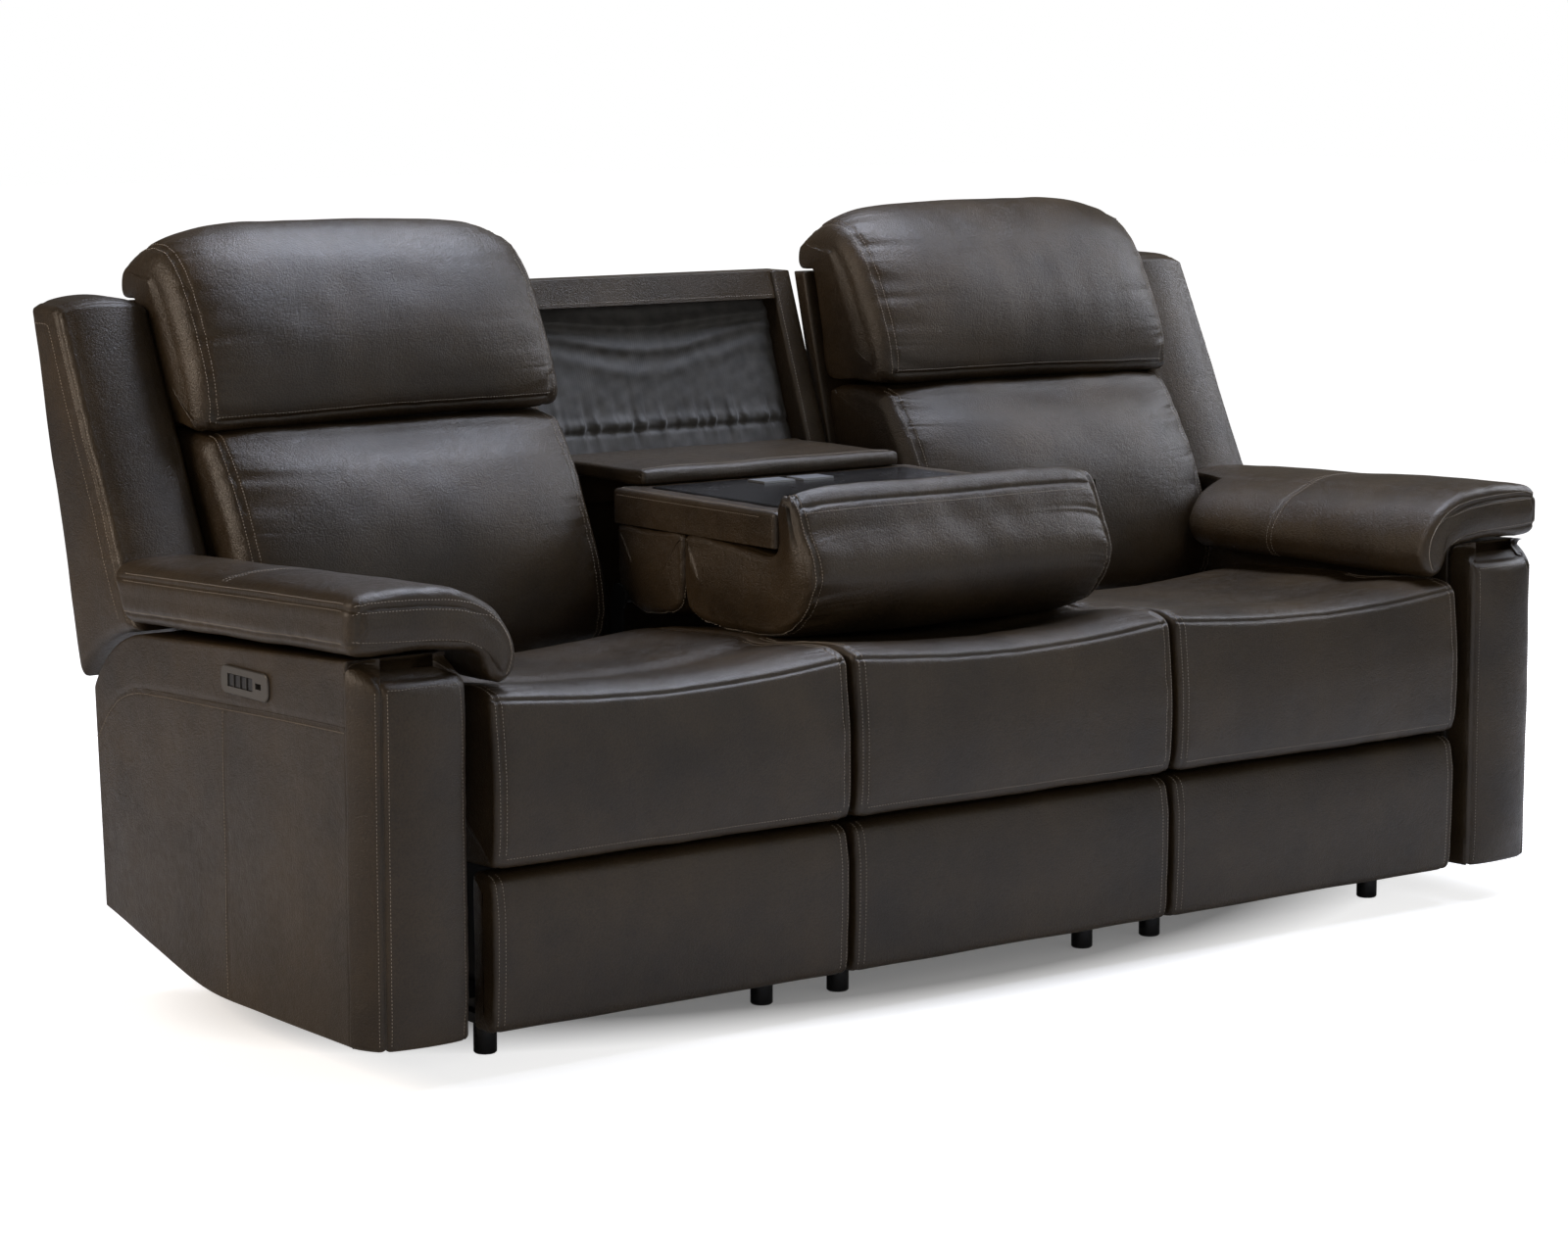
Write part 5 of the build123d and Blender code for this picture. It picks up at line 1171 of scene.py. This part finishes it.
top_rail = slab(strip(rail_at, RAIL_DEEP, TOP_RAIL_LOW, RAIL_HIGH, 8), -RECESS, RECESS, 4, 0)
seam = TOP_RAIL_LOW + 6
lines = [[(x, rail_at(seam), seam) for x in np.linspace(-RECESS + 4, RECESS - 4, 60)]]
dress("middle_top_rail", top_rail, "base", ["center_back_frame"], lines)
low_rail = slab(strip(rail_at, RAIL_DEEP, *LOW_RAIL, 8), -RECESS, RECESS, 4, 0)
dress("middle_low_rail", low_rail, "base", (), ())

REAR_LINE = KNEE[0] + RAIL_DEEP
near_line = [(REAR_LINE, BEAM_LOW), (REAR_LINE, KNEE[1]), (rail_at(RAIL_HIGH) + RAIL_DEEP, RAIL_HIGH)]
far_line = [(back + REAR_THICK, height) for back, height in near_line]
ends = [[near_line[k], far_line[k]] for k in (0, -1)]
rear_panel = slab(patch(ends[0], far_line, ends[1], near_line, 9), -RAIL_OUT, RAIL_OUT, 4, 0)
lines = [
    [(x, rail_at(z) + RAIL_DEEP + REAR_THICK, z) for z in np.linspace(560, 968, 80)]
    for x in (-RAIL_OUT + 12, RAIL_OUT - 12)
]
across = np.linspace(-RAIL_OUT + 14, RAIL_OUT - 14, 80)
lines.append([(x, REAR_LINE + REAR_THICK, FOOT_SEAM) for x in across])
dress("outside_back_center", rear_panel, "base", ["center_back_panel"], lines)

# ---------------------------------------------------------------- recess lining
# Thin black cloth stapled behind the rails: it sags in two folds under the top rail and is
# gathered on elastic above the bottom rail.

LINING_LOW, LINING_HIGH = LOW_RAIL[1] + 1, TOP_RAIL_LOW - 1
LINING_BACK = 40  # behind the rails' front, before it sags
HEM = 752  # height of the elastic


def black_cloth(name):
    """Napped polyester cloth: black and matt, with a faint twill. Its ribs are drawn 9 mm apart,
    several times as coarse as the real ones, so that they show."""
    made, tree, where = new_material(name)
    turned = node(tree, "Mapping", {"Vector": where, "Rotation": (0.3, 0.0, 0.785)})
    twill = node(tree, "TexWave", {"Vector": turned, "Scale": 1000 / 9, "Distortion": 0.6})
    nap = node(tree, "TexNoise", {"Vector": where, "Scale": 1000 / 22, "Detail": 5.0})
    tone = node(tree, "ValToRGB", {"Fac": nap}, [(0.3, "#2e2d2b"), (0.72, "#464441")])
    weave = node(tree, "Bump", {"Height": twill.outputs["Fac"], "Strength": 0.25, "Distance": 0.0003})
    finish = {"Base Color": tone, "Roughness": 0.62, "Normal": weave, "Sheen Weight": 0.25}
    shader = node(tree, "BsdfPrincipled", finish)
    node(tree, "OutputMaterial", {"Surface": shader})
    return made


def lining_grid():
    """Cloth between the rails with its folds, gathers and creases."""
    x = np.linspace(-RECESS + 1, RECESS - 1, 300)
    z = np.linspace(LINING_LOW, LINING_HIGH, 190)
    xx, zz = np.meshgrid(x, z, indexing="ij")
    sag = 0.5 + 0.5 * np.cos(np.pi * xx / RECESS)
    forward = np.zeros_like(xx)
    for centre, dip, deep, wide in ((916, 16, 9, 9), (893, 30, 7, 10), (868, 42, 4, 12)):
        line = centre - dip * sag + 4 * (ripple(xx + 900, 140, int(centre)) - 0.5)
        fullness = 0.7 + 0.3 * ripple(xx + 900, 90, int(centre) + 1)
        forward += deep * np.exp(-(((zz - line) / wide) ** 2)) * fullness
    pleat = (ripple(xx + 700, 9, 5) - 0.5) * 2 + 0.6 * np.sin(xx / 5.2 + 3 * ripple(xx + 700, 60, 6))
    hem = np.exp(-(((zz - HEM) / 9) ** 2))
    above = np.exp(-np.clip(zz - HEM, 0, None) / 24)
    below = np.exp(-np.clip(HEM - zz, 0, None) / 30)
    forward += 3.6 * pleat * np.where(zz > HEM, above, below)
    forward += 6 * hem * 0.6 - 3 * np.exp(-(((zz - HEM + 14) / 5) ** 2))
    grid = np.stack([xx, rail_at(zz) + LINING_BACK - forward, zz], -1)
    creases = 1.6 * unrest(grid, 75, 3) + 0.8 * unrest(grid, 28, 4)
    edge = np.clip(np.minimum(RECESS - np.abs(xx), LINING_HIGH - zz) / 8, 0, 1)
    grid[..., 1] -= creases * edge
    grid[..., 1] = np.clip(grid[..., 1], rail_at(zz) + 20, rail_at(zz) + RAIL_DEEP - 2)
    return grid


cloth_black = black_cloth("napped_black_cloth")
hung = mesh_of("recess_lining", [(lining_grid(), False)])
cloth = seated("recess_lining", hung, cloth_black, "base")
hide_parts("center_back_lining")

# ---------------------------------------------------------------- drop-down console
# Folded down, the middle backrest is a table: a covered board with a moulded tray in it, a
# stuffed front pillow that wraps its front end and a rear pad under it, drawn over the cheeks
# that reach down to the pivots. Behind it a covered flap bridges to the recess.

CONSOLE_HALF = 285
BOARD_HALF = 282
BOARD_FRONT, BOARD_REAR = 212, 620
BOARD_LOW, BOARD_HIGH, BOARD_ROLL = 634, 686, 6
FLOOR_THICK = 5.5
TRAY_NEAR, TRAY_FAR, TRAY_SIDE = 236, 578, 240
CREASE = 437  # where the pillow meets the rear pad


def rectangle(half, near, far, corner, steps=90):
    """Closed rectangle seen from above with rounded corners, sampled evenly."""
    side, front, rear = half - corner, near + corner, far - corner
    path = []
    for k, centre in enumerate(((side, front), (side, rear), (-side, rear), (-side, front))):
        path += arc_points(centre, corner, 90 * k - 90, 90 * k, 6)
    path.append(path[0])
    return resample(path, np.arange(4 * steps) / (4 * steps))


def board(seed):
    """Covered board with an opening for the tray: wall, rounded upper edge, margin, inner wall."""
    outer = rectangle(BOARD_HALF, BOARD_FRONT, BOARD_REAR, BOARD_ROLL)
    inner = rectangle(TRAY_SIDE, TRAY_NEAR, TRAY_FAR, 3)
    turn = np.linspace(0.2, np.pi / 2, 6)
    wall_high = BOARD_HIGH - BOARD_ROLL
    rows = [(outer, BOARD_LOW)] + [(outer, z) for z in np.linspace(BOARD_LOW + 1, wall_high, 9)]
    for a in turn:
        rolled_in = shrink(outer, BOARD_ROLL * (1 - math.cos(a)))
        rows.append((rolled_in, wall_high + BOARD_ROLL * math.sin(a)))
    start = shrink(outer, BOARD_ROLL)
    for share in np.linspace(0.1, 1, 10):
        bulge = 2.2 * math.sin(math.pi * share)
        rows.append((start * (1 - share) + inner * share, BOARD_HIGH + bulge))
    rows += [(inner, z) for z in np.linspace(BOARD_HIGH - 1, BOARD_LOW + 7, 6)]
    loops = [np.column_stack([loop, np.full(len(loop), z)]) for loop, z in rows]
    grid = np.stack(loops, 1)
    sink = 0.54 * unrest(grid, 90, seed) * (grid[..., 2] > BOARD_LOW + 8)
    sink[:, -6:] = 0
    sink[:, :2] = 0
    floors = [(raised(grid, sink), True)]
    for loop, high in ((inner, BOARD_LOW + FLOOR_THICK), (outer, BOARD_LOW)):
        middle = (loop.min(0) + loop.max(0)) / 2
        flat = np.stack([loop * share + middle * (1 - share) for share in np.linspace(0.02, 1, 6)], 1)
        floors.append((np.concatenate([flat, np.full(flat.shape[:2] + (1,), float(high))], -1), True))
    return floors


hem = rectangle(BOARD_HALF - 8, BOARD_FRONT + 8, BOARD_REAR - 8, 6, 60)
hem = [(x, d, BOARD_HIGH + 1) for x, d in hem]
sides = [[(s * BOARD_HALF, d, BOARD_HIGH - 9) for d in np.linspace(250, 610, 60)] for s in (-1, 1)]
dress("console_board", board(131), "console", ["console_body"], [hem] + sides)


def pillow_section(t):
    """Front pillow in side view: lip, chin, nose, belly, heel and the seat of the board."""
    full = fade(t, 9.0)
    out = 7 * full - 3 * (1 - full)
    return spline(
        [
            (211, 688), (207, 702), (199, 713 + out * 0.5), (187, 715.5 + out), (174, 711 + out),
            (163 - out * 0.5, 699 + out * 0.5), (147 - out, 666), (124 - out, 625),
            (119 - out, 596), (133 - out, 563 - out * 0.5), (160, 531 - out), (200, 511 - out),
            (270, 503 - out), (345, 503 - out), (404, 511 - out * 0.7), (427, 524), (436, 556),
            (CREASE - 1, 610), (CREASE - 3, 632), (330, 633), (213, 632),
        ],
        FINE,
    )


def pillow(seed):
    """Stuffed pillow with deep puckers at its end seams."""
    spine = [(176, 700), (166, 660), (163, 600), (190, 566), (380, 566), (412, 595)]
    low, high = -CONSOLE_HALF, CONSOLE_HALF
    return puckered(pillow_section, low, high, 13, seed, (5 * FINE,), spine, None, 13, 3.2, 6, 7.0)


lines = side_lines(pillow_section, 0, CONSOLE_HALF, (7, 17), 2 * FINE, 16 * FINE)
across = np.linspace(-0.94, 0.94, 120)
lines.append([(t * CONSOLE_HALF, *pillow_section(t)[5 * FINE + 6]) for t in across])
dress("console_pillow", pillow(141), "console", ["console_roll"], lines)


def rear_pad_section(t):
    """Rear pad in side view, under the board between its cheeks."""
    draw = 9 * (1 - fade(t, 4.0))
    return spline(
        [
            (CREASE + 4, 632), (CREASE + 3, 600), (CREASE + 4, 545 + draw),
            (CREASE + 16, 514 + draw), (CREASE + 60, 499 + draw), (560, 497 + draw),
            (595, 516 + draw), (612, 545), (616, 600), (615, 632), (530, 633),
        ],
        FINE,
    )


PAD_HALF = BOARD_HALF - 1
spine = [(490, 570), (570, 580)]
rear_pad = puckered(rear_pad_section, -PAD_HALF, PAD_HALF, 13, 151, (), spine, None, 12, 2.8, 4)
lines = side_lines(rear_pad_section, 0, PAD_HALF, (7,), FINE, 8 * FINE)
dress("console_rear_pad", rear_pad, "console", ["console_cushion"], lines)

FLAP_HALF = 245
FLAP_NEAR, FLAP_FAR, FLAP_LOW, FLAP_HIGH = 590, 864, 690, 712


def flap_section(t):
    """Covered flap in side view with a soft front edge."""
    draw = 2.5 * abs(t) ** 10
    return spline(
        [
            (FLAP_NEAR + 5, FLAP_LOW + draw * 0.3), (FLAP_NEAR + draw, FLAP_LOW + 6),
            (FLAP_NEAR + draw, FLAP_HIGH - 7), (FLAP_NEAR + 6, FLAP_HIGH - draw * 0.5),
            (FLAP_NEAR + 60, FLAP_HIGH + 1 - draw), (740, FLAP_HIGH + 1.5 - draw),
            (FLAP_FAR - 30, FLAP_HIGH - draw), (FLAP_FAR - 5, FLAP_HIGH - 1),
            (FLAP_FAR, FLAP_HIGH - 6), (FLAP_FAR, FLAP_LOW + 5), (FLAP_FAR - 5, FLAP_LOW),
            (740, FLAP_LOW),
        ],
        10,
    )


def flap(seed):
    """Flap's cover, a little loose over its board, gathered at the front corners."""
    grid = sleeve(flap_section, -FLAP_HALF, FLAP_HALF, 6, 60)
    across, back, height = grid.transpose(2, 0, 1)
    upper = np.clip((height - FLAP_LOW - 8) / 6, 0, 1)
    corner = np.exp(-(FLAP_HALF - np.abs(across)) / 18) * np.exp(-(back - FLAP_NEAR) / 22)
    sink = -1.8 * ripple(back * 2 + across, 9, seed) * corner + 0.7 * unrest(grid, 110, seed + 1)
    sink += groove(np.abs(back - FLAP_NEAR - 24), 1.0, 3.0)
    middle = (FLAP_LOW + FLAP_HIGH) / 2
    return closed(raised(grid, sink * upper), [(FLAP_NEAR + 12, middle), (FLAP_FAR - 12, middle)], 0.5)


lines = [[(x, FLAP_NEAR + 19, FLAP_HIGH + 2) for x in np.linspace(-FLAP_HALF + 8, FLAP_HALF - 8, 90)]]
dress("console_flap_cover", flap(161), "console_flap", ["console_flap"], lines)

# ---------------------------------------------------------------- metal, plastic and timber
# Finishes of the parts taken straight from the frame: mechanism steel, springs, timber, moulded
# plastic, the gunmetal control plates and the satin lids over the sockets.


def plain(name, code, rough, metal=0.0, grain=0.0):
    """Even finish with fine unevenness in its shine and, for mouldings, a spark-eroded grain."""
    made, tree, where = new_material(name)
    pits = node(tree, "TexNoise", {"Vector": where, "Scale": 1000 / 0.5, "Detail": 2.0})
    smear = node(tree, "TexNoise", {"Vector": where, "Scale": 1000 / 40, "Detail": 3.0})
    shine = node(tree, "MapRange", {"Value": smear, "To Min": rough - 0.06, "To Max": rough + 0.08})
    bump = node(tree, "Bump", {"Height": pits, "Strength": grain, "Distance": 0.0002})
    finish = {"Base Color": colour(code), "Metallic": metal, "Roughness": shine, "Normal": bump}
    shader = node(tree, "BsdfPrincipled", finish)
    node(tree, "OutputMaterial", {"Surface": shader})
    return made


FINISHES = {
    "leather": hide,
    "lining_cloth": cloth_black,
    "dark_steel": black_steel,
    "wood": timber,
    "black_plastic": plain("grained_black_abs", "#0e0e10", 0.24, 0.0, 0.2),
    "actuator_plastic": plain("glass_filled_nylon", "#141416", 0.5, 0.0, 0.5),
    "gunmetal": plain("gunmetal_zinc", "#5f5c58", 0.34, 0.7, 0.08),
    "satin_metal": plain("brushed_aluminium", "#a9acb1", 0.3, 0.8, 0.1),
}
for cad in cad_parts.values():
    for place in cad.material_slots:
        found = place.material.name.split(".")[0] if place.material else ""
        for finish, material in FINISHES.items():
            if finish in found:
                place.material = material
                break

# ---------------------------------------------------------------- floor, light and camera
# Pale floor running out to white with a painted shadow round the sofa's foot, soft daylight from
# large panels, and the camera placed as in the photograph: a long lens at sitting eye height, left of the
# sofa.

CAMERA_AT = (-3.67352, BACK_ZERO / 1000 - 4.33735, 1.35092)
CAMERA_PITCH = 0.1366
CAMERA_YAW = 0.63705
CAMERA_ROLL = 0.0012
LENS = 92.1


def area_lamp(name, place, target, size, power, tint="#ffffff"):
    """Square soft panel turned towards a point."""
    lamp = bpy.data.lights.new(name, "AREA")
    lamp.shape = "RECTANGLE"
    lamp.size, lamp.size_y = size
    lamp.energy = power
    lamp.color = colour(tint)[:3]
    made = bpy.data.objects.new(name, lamp)
    bpy.context.scene.collection.objects.link(made)
    made.location = place
    made.rotation_euler = (Vector(target) - Vector(place)).to_track_quat("-Z", "Y").to_euler()


def floor_with_painted_shadow(name):
    """Pale floor whose camera-only glow reads white far out and drops round the sofa's foot as a painted
    contact shadow.
    """
    made, tree, where = new_material(name)
    matt = node(tree, "BsdfDiffuse", {"Color": colour("#e9e9e9")})
    spread = node(tree, "VectorMath", {0: where}, operation="LENGTH").outputs["Value"]
    run_out = {"From Min": 1.2, "From Max": 3.0, "To Min": 0.76, "To Max": 1.0}
    far = node(tree, "MapRange", {"Value": spread, **run_out})
    # Painted contact shadow: the camera-seen glow drops to a fifth inside an ellipse of about 1.7 m by 0.8
    # m round the sofa, and is back to full by 2.2 m by 1.1 m.
    squeezed = node(tree, "Mapping", {"Vector": where, "Scale": (1 / 1.12, 1 / 0.56, 1)})
    near = node(tree, "VectorMath", {0: squeezed}, operation="LENGTH").outputs["Value"]
    shade = {"From Min": 0.75, "From Max": 1.0, "To Min": 0.2, "To Max": 1.0}
    under = node(tree, "MapRange", {"Value": near, **shade})
    power = node(tree, "Math", {0: far, 1: under}, operation="MULTIPLY")
    glow = node(tree, "Emission", {"Color": colour("#ffffff"), "Strength": power})
    lit = node(tree, "AddShader", {0: matt, 1: glow})
    mixed = node(tree, "MixShader", {0: node(tree, "LightPath"), 1: matt, 2: lit})
    node(tree, "OutputMaterial", {"Surface": mixed})
    return made


bpy.ops.mesh.primitive_plane_add(size=60, location=(0, 0, 0))
floor = bpy.context.object
floor.name = "floor"
floor.data.materials.append(floor_with_painted_shadow("studio_white"))

world = bpy.data.worlds.new("studio")
world.use_nodes = True
bpy.context.scene.world = world
tree = world.node_tree
tree.nodes.clear()
seen = node(tree, "Background", {"Color": colour("#ffffff"), "Strength": 1.0})
fill = node(tree, "Background", {"Color": colour("#f3f0ea"), "Strength": 0.12})
sky = node(tree, "MixShader", {0: node(tree, "LightPath"), 1: fill, 2: seen})
node(tree, "OutputWorld", {"Surface": sky})

area_lamp("window_left", (-4.4, 0.9, 2.4), (0, 0.1, 0.7), (1.2, 1.8), 96, "#ffecd8")
area_lamp("overhead", (0.9, 0.3, 3.4), (0.2, 0, 0.6), (2.6, 0.9), 126, "#e6edff")
area_lamp("front_fill", (1.6, -4.6, 2.0), (0.2, 0, 0.5), (2.4, 1.6), 31)
area_lamp("right_edge", (3.4, -0.2, 2.2), (0.4, 0, 0.8), (1.0, 1.6), 44, "#eef3ff")
area_lamp("front_left", (-3.2, -3.6, 1.3), (-0.8, -0.4, 0.5), (1.6, 1.4), 18, "#fff4ea")

lens = bpy.data.cameras.new("camera")
lens.lens = LENS
lens.sensor_width = 36
lens.shift_x = 0.01526
lens.shift_y = -0.02158
lens.clip_end = 100
camera = bpy.data.objects.new("camera", lens)
bpy.context.scene.collection.objects.link(camera)
camera.location = CAMERA_AT
camera.rotation_euler = (math.pi / 2 - CAMERA_PITCH, CAMERA_ROLL, -CAMERA_YAW)
bpy.context.scene.camera = camera
bpy.context.scene.view_settings.view_transform = "Standard"
